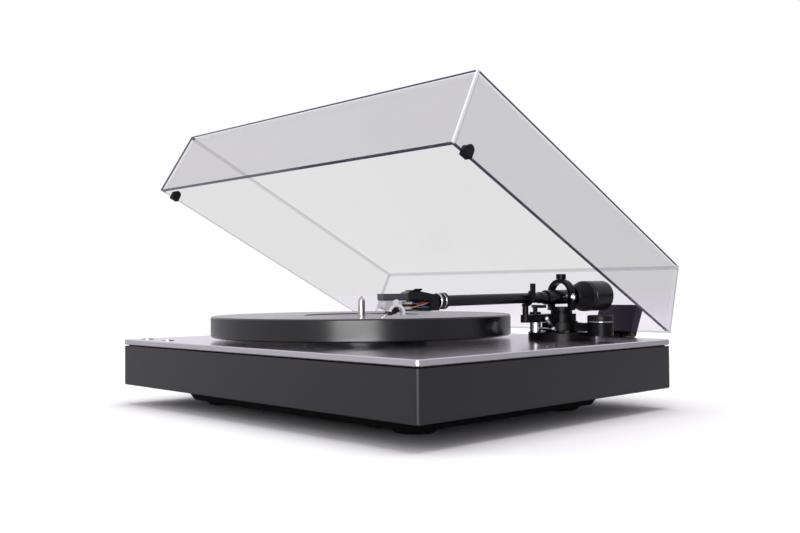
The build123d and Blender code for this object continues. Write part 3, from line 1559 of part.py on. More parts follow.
# Screw heads: rear panel corners, hinge brackets and the underside of the tray
panel_screw_x = panel_width / 2 - screw_edge
panel_screw_z = panel_height / 2 - screw_edge
bracket_face = bracket_front.offset(bracket_thickness)
with BuildPart() as fixing_screws:
    with BuildSketch(panel_face):
        with GridLocations(2 * panel_screw_x, 2 * panel_screw_z, 2, 2):
            Circle(screw_head_radius)
    extrude(amount=screw_head_height)
    with BuildSketch(bracket_face):
        with Locations((0, bracket_height / 2)):
            with GridLocations(hinge_spacing, bracket_height - 2 * screw_edge, 2, 2):
                Circle(screw_head_radius)
    extrude(amount=screw_head_height)
    with BuildSketch(Plane.XY.offset(tray_bottom - screw_head_height)):
        with Locations(*tray_screw_places):
            Circle(screw_head_radius)
    extrude(amount=screw_head_height)
fixing_screws.part.label = "fixing_screws"
export_step(fixing_screws.part, "parts/fixing_screws.step")
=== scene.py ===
"""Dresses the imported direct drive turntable: materials, fine pieces, studio and camera."""

import logging
import math
from collections.abc import Callable
from dataclasses import dataclass, field
from enum import Enum

import bpy
from mathutils import Matrix, Vector

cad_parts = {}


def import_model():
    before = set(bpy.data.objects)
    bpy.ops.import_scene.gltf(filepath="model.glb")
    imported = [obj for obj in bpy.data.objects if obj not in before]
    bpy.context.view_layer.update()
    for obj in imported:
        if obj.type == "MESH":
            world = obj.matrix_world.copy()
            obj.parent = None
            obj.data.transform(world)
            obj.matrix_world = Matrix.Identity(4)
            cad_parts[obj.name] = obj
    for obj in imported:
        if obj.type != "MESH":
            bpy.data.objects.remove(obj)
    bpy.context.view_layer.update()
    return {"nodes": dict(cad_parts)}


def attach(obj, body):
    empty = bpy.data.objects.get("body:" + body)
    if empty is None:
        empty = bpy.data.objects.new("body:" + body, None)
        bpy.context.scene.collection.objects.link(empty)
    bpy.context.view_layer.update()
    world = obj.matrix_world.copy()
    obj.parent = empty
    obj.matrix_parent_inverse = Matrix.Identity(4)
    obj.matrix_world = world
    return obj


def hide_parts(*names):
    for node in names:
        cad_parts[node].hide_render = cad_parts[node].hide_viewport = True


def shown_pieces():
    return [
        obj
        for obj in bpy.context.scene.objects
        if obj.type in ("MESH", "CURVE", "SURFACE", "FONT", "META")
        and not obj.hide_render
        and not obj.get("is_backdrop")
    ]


log = logging.getLogger("turntable")

Node = bpy.types.Node
Socket = bpy.types.NodeSocket
NodeTree = bpy.types.NodeTree
Material = bpy.types.Material
Piece = bpy.types.Object
Triple = tuple[float, float, float]
Span = tuple[float, float]
Outline = list[tuple[float, float]]

ORIGIN = (0.0, 0.0, 0.0)
X_AXIS = Vector((1.0, 0.0, 0.0))
Y_AXIS = Vector((0.0, 1.0, 0.0))

DECK_TOP = 0.067
PLATTER_CENTRE = Vector((-0.023, -0.012, 0.0))
PIVOT = Vector((0.145, 0.0975, 0.0))
GIMBAL = Vector((0.145, 0.0975, 0.1084))
ARM_HEADING = math.radians(267.5)
ARM_SLOPE = math.radians(0.6)
SHELL_HEADING = math.radians(244.5)
BEND_DISTANCE = 0.165
HINGE = Vector((0.0, 0.1817, 0.0591))
COVER_ANGLE = math.radians(26.6)
RIM_FORWARD = 0.0102
RIM_UP = 0.0099
COVER_WIDTH = 0.432
COVER_DEPTH = 0.344
COVER_HEIGHT = 0.0703
DRAFT_SIDE = 0.0054
DRAFT_FRONT = 0.0042
DRAFT_REAR = 0.00475


class Pattern(Enum):
    """How the fine marks of a finish lie on its surface."""

    GRAIN = "grain"
    TURNED = "turned"
    BRUSHED = "brushed"


class LampUse(Enum):
    """Which surfaces a lamp acts on."""

    MATT = "matt"
    MIRRORED = "mirrored"


def heading(angle: float, slope: float = 0.0) -> Vector:
    """A unit vector with a heading from +X and a slope down."""
    level = math.cos(slope)
    return Vector((math.cos(angle) * level, math.sin(angle) * level, -math.sin(slope)))


def along(origin: Vector, axis: Vector, across: Vector = X_AXIS) -> Matrix:
    """A placing whose Z is an axis.

    Args:
        origin: where the piece's own origin goes.
        axis: the direction of its Z.
        across: a direction near its X.

    Returns:
        The placing matrix.
    """
    z = axis.normalized()
    y = z.cross(across).normalized()
    return Matrix.Translation(origin) @ Matrix((y.cross(z), y, z)).transposed().to_4x4()


def rounded_section(span: Span, radii: Span, edge: float) -> Outline:
    """The section of a ring whose two outer corners are cut off.

    Args:
        span: its lowest and highest level.
        radii: its inner and outer radius.
        edge: how much of each corner is cut off.

    Returns:
        (height, radius) round the section.
    """
    low, high = span
    inner, outer = radii
    rise = [(low, inner), (low, outer - edge), (low + edge, outer)]
    return [*rise, (high - edge, outer), (high, outer - edge), (high, inner)]


def opaque(colour: Triple) -> tuple[float, float, float, float]:
    """A colour with full alpha."""
    return (*colour, 1.0)


ARM_ALONG = heading(ARM_HEADING, ARM_SLOPE)
ARM_RIGHT = Vector((0, 0, 1)).cross(heading(ARM_HEADING))
ARM_TURN = (0.0, math.radians(90.0) + ARM_SLOPE, ARM_HEADING)
ARM_PLACE = along(GIMBAL, ARM_ALONG, ARM_RIGHT)
BEND = GIMBAL + ARM_ALONG * BEND_DISTANCE
SHELL_TURN = (0.0, 0.0, SHELL_HEADING)
SHELL_PLACE = Matrix.Translation(BEND) @ Matrix.Rotation(SHELL_HEADING, 4, "Z")
LEADS_LEVEL = -0.0033
COVER_BACK = Vector((0.0, math.cos(COVER_ANGLE), -math.sin(COVER_ANGLE)))
COVER_UP = Vector((0.0, math.sin(COVER_ANGLE), math.cos(COVER_ANGLE)))
RIM = HINGE - COVER_BACK * RIM_FORWARD + COVER_UP * RIM_UP


class NodeBuilder:
    """Adds, feeds and links shader nodes in one tree."""

    SPACING = 180
    MIX_SHARE, MIX_FIRST, MIX_SECOND, MIX_RESULT = 0, 6, 7, 2

    def __init__(self, tree: NodeTree) -> None:
        """Keeps the tree.

        Args:
            tree: the node tree that gets the nodes.
        """
        self.tree = tree
        self.column = 0

    def add(self, kind: str, **values: object) -> Node:
        """Adds a node and sets its properties.

        Args:
            kind: the node's type name.
            **values: properties of the node by name.

        Returns:
            The new node.
        """
        node = self.tree.nodes.new(kind)
        node.location = (self.column * self.SPACING, 0)
        self.column += 1
        for name, value in values.items():
            setattr(node, name, value)
        return node

    def link(self, source: Socket, target: Socket) -> None:
        """Links one socket to another."""
        self.tree.links.new(source, target)

    def feed(self, node: Node, values: dict[str | int, object]) -> Node:
        """Gives a node's inputs their numbers and colours, or links sockets to them.

        Args:
            node: the node.
            values: a number, colour or socket for each input, by its name or number.

        Returns:
            The same node.
        """
        for name, value in values.items():
            if isinstance(value, Socket):
                self.link(value, node.inputs[name])
            else:
                node.inputs[name].default_value = value
        return node

    def math(self, operation: str, *inputs: object) -> Socket:
        """Adds a Math node fed by numbers or sockets.

        Args:
            operation: the Math operation.
            *inputs: numbers or sockets, in order.

        Returns:
            The node's result socket.
        """
        return self.feed(self.add("ShaderNodeMath", operation=operation), dict(enumerate(inputs))).outputs[0]

    def mix(self, share: object, first: object, second: object) -> Socket:
        """Mixes two colours.

        Args:
            share: a number or socket for the second colour's share.
            first: a colour or socket.
            second: a colour or socket.

        Returns:
            The mixed colour's socket.
        """
        node = self.add("ShaderNodeMix", data_type="RGBA", blend_type="MIX")
        self.feed(node, {self.MIX_SHARE: share, self.MIX_FIRST: first, self.MIX_SECOND: second})
        return node.outputs[self.MIX_RESULT]

    def scale(self, vector: object, gain: object) -> Socket:
        """Scales a vector or colour by a number."""
        node = self.add("ShaderNodeVectorMath", operation="SCALE")
        return self.feed(node, {0: vector, "Scale": gain}).outputs[0]

    def ramp(self, value: object, start: Span, result: Span = (0.0, 1.0)) -> Socket:
        """Adds a smooth ramp from one value to another.

        Args:
            value: the socket that drives it.
            start: where it begins and ends.
            result: its values there.

        Returns:
            The ramp's result socket.
        """
        node = self.add("ShaderNodeMapRange", interpolation_type="SMOOTHSTEP")
        limits = {"From Min": start[0], "From Max": start[1], "To Min": result[0], "To Max": result[1]}
        return self.feed(node, {"Value": value, **limits}).outputs["Result"]

    def noise(self, vector: object, scale: object, detail: float) -> Socket:
        """Adds a noise texture."""
        node = self.add("ShaderNodeTexNoise")
        return self.feed(node, {"Vector": vector, "Scale": scale, "Detail": detail}).outputs[0]

    def bump(self, height: object, strength: float, depth: float) -> Socket:
        """Adds a bump of a given strength and depth."""
        node = self.add("ShaderNodeBump")
        return self.feed(node, {"Height": height, "Strength": strength, "Distance": depth}).outputs[0]

    def group(self, tree: NodeTree, values: dict[str, object]) -> Node:
        """Adds a node group and feeds its inputs by name."""
        return self.feed(self.add("ShaderNodeGroup", node_tree=tree), values)

    def finish(self, kind: str, shader: Node) -> None:
        """Ends the tree with an output node that takes the shader."""
        self.link(shader.outputs[0], self.add(kind).inputs[0])


def blank_nodes(owner: Material | bpy.types.World) -> NodeBuilder:
    """Empties the node tree of a material or world and gives a builder for it."""
    owner.use_nodes = True
    owner.node_tree.nodes.clear()
    return NodeBuilder(owner.node_tree)


class SurfaceGroups:
    """The shader node groups that several finishes share, each built once."""

    SURFACE_INPUTS = (
        ("Vector", "NodeSocketVector", None),
        ("Colour", "NodeSocketColor", (0.5, 0.5, 0.5, 1.0)),
        ("Roughness", "NodeSocketFloat", 0.5),
        ("Spread", "NodeSocketFloat", 0.1),
        ("Mottle", "NodeSocketFloat", 0.1),
        ("Speckle", "NodeSocketFloat", 0.0),
        ("Patch Scale", "NodeSocketFloat", 18.0),
        ("Fine Scale", "NodeSocketFloat", 1800.0),
    )
    SURFACE_OUTPUTS = (
        ("Colour", "NodeSocketColor"),
        ("Roughness", "NodeSocketFloat"),
        ("Height", "NodeSocketFloat"),
    )
    PATCH_DETAIL = 4.0
    BRUSH_STRETCH = 0.02
    FAINT_EDGE = 0.3
    FRONT_BAND = 0.005
    RIM_BAND = 0.0004
    TWO_SIDES = 1.5

    def __init__(self) -> None:
        """Builds the groups."""
        self.surfaces = {
            Pattern.GRAIN: self._surface("fine_grain", self._even, 2.0),
            Pattern.TURNED: self._surface("turned_rings", self._rings, 3.0),
            Pattern.BRUSHED: self._surface("brushed_lines", self._lines, 3.0),
        }
        self.sheet_edges = self._sheet_edges()

    def _group(self, name: str, inputs: tuple, outputs: tuple) -> tuple:
        """Makes an empty group with its sockets.

        Args:
            name: the group's name.
            inputs: (name, socket type, default) for each input.
            outputs: (name, socket type) for each output.

        Returns:
            The group, its builder, its input node and its output node.
        """
        group = bpy.data.node_groups.new(name, "ShaderNodeTree")
        for label, kind, default in inputs:
            socket = group.interface.new_socket(name=label, in_out="INPUT", socket_type=kind)
            if default is not None:
                socket.default_value = default
        for label, kind in outputs:
            group.interface.new_socket(name=label, in_out="OUTPUT", socket_type=kind)
        builder = NodeBuilder(group)
        return group, builder, builder.add("NodeGroupInput"), builder.add("NodeGroupOutput")

    def _surface(self, name: str, laid: Callable, detail: float) -> NodeTree:
        """Makes a group that varies a colour and roughness by fine marks and soft patches.

        Args:
            name: the group's name.
            laid: gives the coordinates in which the fine marks lie, from a builder and a vector.
            detail: how fine the marks' noise is.

        Returns:
            The group.
        """
        group, b, start, end = self._group(name, self.SURFACE_INPUTS, self.SURFACE_OUTPUTS)
        given = start.outputs
        fine = b.noise(laid(b, given["Vector"]), given["Fine Scale"], detail)
        patches = b.noise(given["Vector"], given["Patch Scale"], self.PATCH_DETAIL)
        spread = b.math("SUBTRACT", patches, 0.5)
        lift = b.math("MULTIPLY", spread, given["Mottle"])
        fine_lift = b.math("MULTIPLY", b.math("SUBTRACT", fine, 0.5), given["Speckle"])
        gain = b.math("ADD", 1.0, b.math("ADD", lift, fine_lift))
        rough = b.math("ADD", given["Roughness"], b.math("MULTIPLY", spread, given["Spread"]))
        b.feed(end, {"Colour": b.scale(given["Colour"], gain), "Roughness": rough, "Height": fine})
        return group

    def _even(self, b: NodeBuilder, vector: Socket) -> Socket:
        """Coordinates that leave the grain even, as on coated metal and moulded plastic."""
        return vector

    def _rings(self, b: NodeBuilder, vector: Socket) -> Socket:
        """Coordinates that keep a mark the same all round Z, as a lathe leaves it.

        Args:
            b: the group's node builder.
            vector: the pattern's coordinates.

        Returns:
            The radius and height as a vector socket.
        """
        x, y, height = b.feed(b.add("ShaderNodeSeparateXYZ"), {0: vector}).outputs
        radius = b.math("SQRT", b.math("ADD", b.math("MULTIPLY", x, x), b.math("MULTIPLY", y, y)))
        return b.feed(b.add("ShaderNodeCombineXYZ"), {0: radius, 1: height}).outputs[0]

    def _lines(self, b: NodeBuilder, vector: Socket) -> Socket:
        """Coordinates that stretch the marks to short straight lines along X."""
        stretch = {"Vector": vector, "Scale": (self.BRUSH_STRETCH, 1.0, 1.0)}
        return b.feed(b.add("ShaderNodeMapping"), stretch).outputs[0]

    def _sheet_edges(self) -> NodeTree:
        """Makes the masks of the painted shade along the cover's outer edges and bottom rim, fainter at its
        left and back, and of the painted highlight on its front right edge.

        Returns:
            The group.
        """
        group, b, start, end = self._group(
            "sheet_edges",
            (("Vector", "NodeSocketVector", None), ("Edge Width", "NodeSocketFloat", 0.0014)),
            (("Edge", "NodeSocketFloat"), ("Rim", "NodeSocketFloat"), ("Painted Highlight", "NodeSocketFloat")),
        )
        local = b.feed(b.add("ShaderNodeSeparateXYZ"), {0: start.outputs["Vector"]})
        across, back, height = local.outputs
        share = b.math("DIVIDE", height, COVER_HEIGHT)
        side_edge = b.math("SUBTRACT", COVER_WIDTH / 2, b.math("MULTIPLY", share, DRAFT_SIDE))
        to_side = b.math("SUBTRACT", side_edge, b.math("ABSOLUTE", across))
        front_edge = b.math("SUBTRACT", COVER_DEPTH, b.math("MULTIPLY", share, DRAFT_FRONT))
        to_front = b.math("ADD", front_edge, back)
        to_rear = b.math("SUBTRACT", b.math("MULTIPLY", share, -DRAFT_REAR), back)
        to_top = b.math("SUBTRACT", COVER_HEIGHT, height)
        near = [
            b.math("LESS_THAN", distance, start.outputs["Edge Width"])
            for distance in (to_side, to_front, to_rear, to_top)
        ]
        count = b.math("ADD", b.math("ADD", near[0], near[1]), b.math("ADD", near[2], near[3]))
        right_half = b.math("GREATER_THAN", across, 0.0)
        at_front = b.math("LESS_THAN", to_front, self.FRONT_BAND)
        at_right = b.math("MULTIPLY", right_half, b.math("GREATER_THAN", to_rear, self.FRONT_BAND))
        strong = b.math("MULTIPLY", b.math("MAXIMUM", at_front, at_right), 1.0 - self.FAINT_EDGE)
        strength = b.math("ADD", self.FAINT_EDGE, strong)
        # painted shade: dark lines along the outer edges and bottom rim, full on the front and right half,
        # faint at the left and back
        edge = b.math("MULTIPLY", b.math("GREATER_THAN", count, self.TWO_SIDES), strength)
        rim = b.math("MULTIPLY", b.math("LESS_THAN", height, self.RIM_BAND), strength)
        # painted highlight: the front right vertical edge, where the front and right sheets meet, is painted
        # white
        corner = b.math("MULTIPLY", b.math("MULTIPLY", near[0], near[1]), right_half)
        b.feed(end, {"Edge": edge, "Rim": rim, "Painted Highlight": corner})
        return group


@dataclass(frozen=True)
class Coating:
    """What every finish has: its name, and where its pattern lies and how that is turned."""

    name: str
    centre: Triple = field(default=ORIGIN, kw_only=True)
    turn: Triple = field(default=ORIGIN, kw_only=True)

    def build(self, groups: SurfaceGroups) -> Material:
        """Makes the material.

        Args:
            groups: the shared node groups.

        Returns:
            The new material.
        """
        material = bpy.data.materials.new(self.name)
        b = blank_nodes(material)
        place = b.add("ShaderNodeTexCoord").outputs["Object"]
        mapping = b.add("ShaderNodeMapping", vector_type="TEXTURE")
        b.feed(mapping, {"Vector": place, "Location": self.centre, "Rotation": self.turn})
        shader = b.add("ShaderNodeBsdfPrincipled")
        b.feed(shader, self.values(b, mapping.outputs[0], groups))
        b.finish("ShaderNodeOutputMaterial", shader)
        return material

    def values(self, b: NodeBuilder, space: Socket, groups: SurfaceGroups) -> dict:
        """Works out what the shader's inputs get; each kind of finish has its own.

        Args:
            b: the material's node builder.
            space: the pattern's coordinates.
            groups: the shared node groups.

        Returns:
            A number, colour or socket for each input, by its name.
        """
        raise NotImplementedError


@dataclass(frozen=True)
class Finish(Coating):
    """One surface finish of the turntable."""

    colour: Triple
    roughness: float
    metallic: float = 0.0
    pattern: Pattern = Pattern.GRAIN
    fine_size: float = 0.0006
    bump: float = 0.05
    bump_depth: float = 0.00005
    mottle: float = 0.08
    speckle: float = 0.0
    spread: float = 0.06
    patch_size: float = 0.05
    coat: float = 0.0
    coat_roughness: float = 0.15
    specular: float = 0.5

    def values(self, b: NodeBuilder, space: Socket, groups: SurfaceGroups) -> dict:
        """Takes the colour, roughness and bump from a surface group.

        Args:
            b: the material's node builder.
            space: the pattern's coordinates.
            groups: the shared node groups.

        Returns:
            A number, colour or socket for each input, by its name.
        """
        given = {
            "Vector": space,
            "Colour": opaque(self.colour),
            "Roughness": self.roughness,
            "Spread": self.spread,
            "Mottle": self.mottle,
            "Speckle": self.speckle,
            "Patch Scale": 1.0 / self.patch_size,
            "Fine Scale": 1.0 / self.fine_size,
        }
        surface = b.group(groups.surfaces[self.pattern], given).outputs
        return {
            "Base Color": surface["Colour"],
            "Roughness": surface["Roughness"],
            "Normal": b.bump(surface["Height"], self.bump, self.bump_depth),
            "Metallic": self.metallic,
            "Specular IOR Level": self.specular,
            "Coat Weight": self.coat,
            "Coat Roughness": self.coat_roughness,
        }


@dataclass(frozen=True)
class ClearSheet(Coating):
    """The clear smoked sheet of the cover, with painted dark shade along its edges and a painted white
    highlight on its front right edge.
    """

    name: str = "clear_smoked_sheet"
    centre: Triple = field(default=tuple(RIM), kw_only=True)
    turn: Triple = field(default=(-COVER_ANGLE, 0.0, 0.0), kw_only=True)
    tint: Triple = (0.15, 0.12, 0.2)
    # painted shade along the sheet's outer edges and bottom rim
    painted_edge_shade: Triple = (0.014, 0.013, 0.075)
    # painted white highlight on the front right vertical edge
    painted_highlight_colour: Triple = (0.9, 0.9, 0.93)
    haze: float = 0.14
    edge_alpha: float = 0.93
    roughness: float = 0.02
    specular: float = 0.35
    edge_width: float = 0.002

    def values(self, b: NodeBuilder, space: Socket, groups: SurfaceGroups) -> dict:
        """Tints the sheet, paints dark shade along its edges and paints a white highlight on its front right
        edge.

        Args:
            b: the material's node builder.
            space: the pattern's coordinates.
            groups: the shared node groups.

        Returns:
            A number, colour or socket for each input, by its name.
        """
        masks = b.group(groups.sheet_edges, {"Vector": space, "Edge Width": self.edge_width}).outputs
        # the edges and bottom rim take the painted shade colour and are nearly opaque
        edge = b.math("MAXIMUM", masks["Edge"], masks["Rim"])
        colour = b.mix(edge, opaque(self.tint), opaque(self.painted_edge_shade))
        return {
            # the front right vertical edge takes the painted highlight colour
            "Base Color": b.mix(masks["Painted Highlight"], colour, opaque(self.painted_highlight_colour)),
            "Alpha": b.math("ADD", self.haze, b.math("MULTIPLY", edge, self.edge_alpha - self.haze)),
            "Roughness": self.roughness,
            "Specular IOR Level": self.specular,
        }


@dataclass(frozen=True)
class LeadInsulation(Coating):
    """The four colours of the headshell's leads, by their place round the cartridge's middle."""

    name: str = "lead_colours"
    centre: Triple = field(default=tuple(BEND + Vector((0.0, 0.0, LEADS_LEVEL))), kw_only=True)
    turn: Triple = field(default=SHELL_TURN, kw_only=True)
    right_top: Triple = (0.62, 0.04, 0.03)
    right_bottom: Triple = (0.03, 0.32, 0.1)
    left_top: Triple = (0.04, 0.1, 0.5)
    left_bottom: Triple = (0.75, 0.72, 0.66)
    roughness: float = 0.38

    def values(self, b: NodeBuilder, space: Socket, groups: SurfaceGroups) -> dict:
        """Colours each quarter of the space round the cartridge's middle.

        Args:
            b: the material's node builder.
            space: the pattern's coordinates.
            groups: not used.

        Returns:
            A number, colour or socket for each input, by its name.
        """
        local = b.feed(b.add("ShaderNodeSeparateXYZ"), {0: space}).outputs
        right = b.math("GREATER_THAN", local[1], 0.0)
        top = b.math("GREATER_THAN", local[2], 0.0)
        upper = b.mix(right, opaque(self.left_top), opaque(self.right_top))
        lower = b.mix(right, opaque(self.left_bottom), opaque(self.right_bottom))
        return {"Base Color": b.mix(top, lower, upper), "Roughness": self.roughness}


@dataclass(frozen=True)
class HeadshellCoat(Coating):
    """The headshell's black coat, with the brushed dark plate at its front."""

    name: str = "headshell_coat"
    centre: Triple = field(default=tuple(BEND), kw_only=True)
    turn: Triple = field(default=SHELL_TURN, kw_only=True)
    coat: Triple = (0.006, 0.0057, 0.0068)
    plate: Triple = (0.06, 0.059, 0.064)
    coat_roughness: float = 0.3
    plate_roughness: float = 0.42
    plate_metallic: float = 0.6
    plate_start: float = 0.0295
    spread: float = 0.06
    fine_scale: float = 3500.0
    bump: float = 0.35
    bump_depth: float = 0.00004
    specular: float = 0.3

    def values(self, b: NodeBuilder, space: Socket, groups: SurfaceGroups) -> dict:
        """Tells the plate from the coat by its place.

        Args:
            b: the material's node builder.
            space: the pattern's coordinates.
            groups: the shared node groups.

        Returns:
            A number, colour or socket for each input, by its name.
        """
        local = b.feed(b.add("ShaderNodeSeparateXYZ"), {0: space}).outputs
        share = b.math("GREATER_THAN", local[0], self.plate_start)
        rise = b.math("MULTIPLY", share, self.plate_roughness - self.coat_roughness)
        given = {
            "Vector": space,
            "Colour": b.mix(share, opaque(self.coat), opaque(self.plate)),
            "Roughness": b.math("ADD", self.coat_roughness, rise),
            "Spread": self.spread,
            "Fine Scale": self.fine_scale,
        }
        surface = b.group(groups.surfaces[Pattern.BRUSHED], given).outputs
        height = b.math("MULTIPLY", surface["Height"], share)
        return {
            "Base Color": surface["Colour"],
            "Roughness": surface["Roughness"],
            "Metallic": b.math("MULTIPLY", share, self.plate_metallic),
            "Specular IOR Level": self.specular,
            "Normal": b.bump(height, self.bump, self.bump_depth),
        }


class FinishBook:
    """Every finish, built once, and the finish of each carried-over node."""

    ARM_BLACK = (0.004, 0.0037, 0.0047)
    FINISHES = (
        Finish("anodised_deck", (0.55, 0.53, 0.575), 0.23, 1.0, fine_size=0.00035, bump=0.12, speckle=0.08),
        Finish(
            "moulded_plinth",
            (0.0105, 0.0092, 0.0132),
            0.42,
            fine_size=0.0007,
            bump=0.22,
            speckle=0.2,
            specular=0.43,
        ),
        Finish("tray_black", (0.007, 0.0068, 0.0075), 0.55, fine_size=0.0006, bump=0.2, specular=0.25),
        Finish("soft_rubber", (0.006, 0.006, 0.006), 0.75, fine_size=0.0004, bump=0.25, specular=0.2),
        Finish(
            "turned_platter",
            (0.003, 0.0027, 0.0036),
            0.23,
            pattern=Pattern.TURNED,
            fine_size=0.0004,
            bump=0.25,
            specular=0.6,
            centre=tuple(PLATTER_CENTRE),
        ),
        Finish(
            "bare_spindle",
            (0.62, 0.61, 0.6),
            0.2,
            1.0,
            Pattern.TURNED,
            fine_size=0.0003,
            bump=0.1,
            centre=tuple(PLATTER_CENTRE),
        ),
        Finish("plated_steel", (0.35, 0.35, 0.36), 0.35, 1.0, speckle=0.06),
        Finish("sintered_magnet", (0.05, 0.05, 0.055), 0.6, fine_size=0.0009, bump=0.3, speckle=0.2),
        Finish("varnished_copper", (0.55, 0.24, 0.1), 0.3, 1.0, Pattern.TURNED, fine_size=0.0003, bump=0.6),
        Finish("circuit_board", (0.02, 0.12, 0.05), 0.35, speckle=0.3, coat=0.3),
        Finish("component_black", (0.02, 0.02, 0.022), 0.45, fine_size=0.0005, bump=0.2),
        Finish("satin_arm_coat", ARM_BLACK, 0.3, fine_size=0.0004, bump=0.12, specular=0.12),
        Finish(
            "turned_arm_coat",
            ARM_BLACK,
            0.25,
            pattern=Pattern.TURNED,
            fine_size=0.0005,
            bump=0.3,
            centre=tuple(GIMBAL),
            turn=ARM_TURN,
            specular=0.27,
        ),
        Finish(
            "turned_pillar_coat",
            ARM_BLACK,
            0.3,
            pattern=Pattern.TURNED,
            fine_size=0.0005,
            bump=0.3,
            centre=tuple(PIVOT),
            specular=0.08,
        ),
        Finish("polished_metal", (0.78, 0.78, 0.79), 0.1, 1.0, fine_size=0.0003, bump=0.03, mottle=0.03),
        Finish("satin_steel", (0.55, 0.55, 0.56), 0.28, 1.0, Pattern.BRUSHED, fine_size=0.0002, bump=0.2),
        Finish("plated_brass", (0.75, 0.58, 0.28), 0.22, 1.0, fine_size=0.0004),
        Finish("grip_black", (0.004, 0.004, 0.0045), 0.5, fine_size=0.0004, bump=0.1, specular=0.15),
        Finish("satin_knob", (0.006, 0.0057, 0.0067), 0.34, fine_size=0.0004, bump=0.15, specular=0.2),
        Finish("cartridge_silver", (0.6, 0.6, 0.62), 0.34, fine_size=0.0004, bump=0.06),
        Finish("cartridge_bright", (0.95, 0.95, 0.95), 0.24, fine_size=0.0004, bump=0.04),
        Finish("bright_black", (0.02, 0.02, 0.021), 0.16, 0.5, fine_size=0.0004, coat=0.5),
        Finish("lead_colour_red", (0.5, 0.03, 0.02), 0.4),
        Finish("lead_colour_white", (0.8, 0.78, 0.72), 0.4),
        Finish("lead_blue_colour", (0.05, 0.12, 0.6), 0.4),
        Finish("lead_orange_colour", (0.75, 0.3, 0.08), 0.4),
        Finish("smoked_hinge_block", (0.003, 0.0028, 0.004), 0.3, bump=0.02, specular=0.12),
        LeadInsulation(),
        HeadshellCoat(),
        Finish("button_silver", (0.62, 0.62, 0.64), 0.25, 1.0, fine_size=0.0003, bump=0.06),
        ClearSheet(),
    )

    NODES = {
        "anodised_deck": ("deck_plate",),
        "moulded_plinth": ("plinth_block",),
        "tray_black": ("base_tray",),
        "soft_rubber": ("feet", "damping_sheet", "cover_bumpers"),
        "turned_platter": ("platter",),
        "bare_spindle": ("spindle", "bearing_housing"),
        "plated_steel": (
            "motor_plate",
            "rotor_cup",
            "rear_panel",
            "shank_nut",
            "fixing_screws",
            "hinge_pins",
        ),
        "sintered_magnet": ("ring_magnet",),
        "varnished_copper": ("stator_coils",),
        "circuit_board": ("stator_board", "main_board"),
        "component_black": ("board_parts", "mains_inlet", "level_switch", "weight_liner", "stylus"),
        "satin_arm_coat": (
            "arm_base",
            "base_screws",
            "arm_bridge",
            "arm_rest",
            "arm_yoke",
            "yoke_nut",
            "cue_platform",
            "skate_drum",
            "finger_lift",
            "hinge_leaves",
            "hinge_brackets",
        ),
        "turned_arm_coat": ("arm_sleeve", "arm_tube", "lock_collar", "counterweight"),
        "turned_pillar_coat": ("arm_pillar",),
        "satin_knob": ("force_dial", "rest_latch", "skate_knob"),
        "polished_metal": ("bearing_screws", "cue_lever"),
        "satin_steel": ("lift_cylinder",),
        "plated_brass": ("phono_sockets", "ground_nut"),
        "cartridge_silver": ("cartridge",),
        "lead_colours": ("headshell_leads",),
        "headshell_coat": ("headshell",),
        "smoked_hinge_block": ("hinge_pockets",),
        "button_silver": ("power_button", "speed_button"),
        "clear_smoked_sheet": ("cover_top", "cover_front", "cover_rear", "cover_left", "cover_right"),
    }

    def __init__(self, groups: SurfaceGroups) -> None:
        """Builds every finish.

        Args:
            groups: the shared node groups.
        """
        self.materials = {finish.name: finish.build(groups) for finish in self.FINISHES}

    def put(self, piece: Piece, finish: str) -> None:
        """Gives a piece one finish."""
        piece.data.materials.clear()
        piece.data.materials.append(self.materials[finish])

    def dress_nodes(self, nodes: dict[str, Piece]) -> None:
        """Gives every carried-over node its finish.

        Args:
            nodes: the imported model's nodes by name.
        """
        for finish, names in self.NODES.items():
            for name in names:
                self.put(nodes[name], finish)
        dressed = {name for names in self.NODES.values() for name in names}
        for name in sorted(set(nodes) - dressed):
            log.warning("node %s has no finish", name)


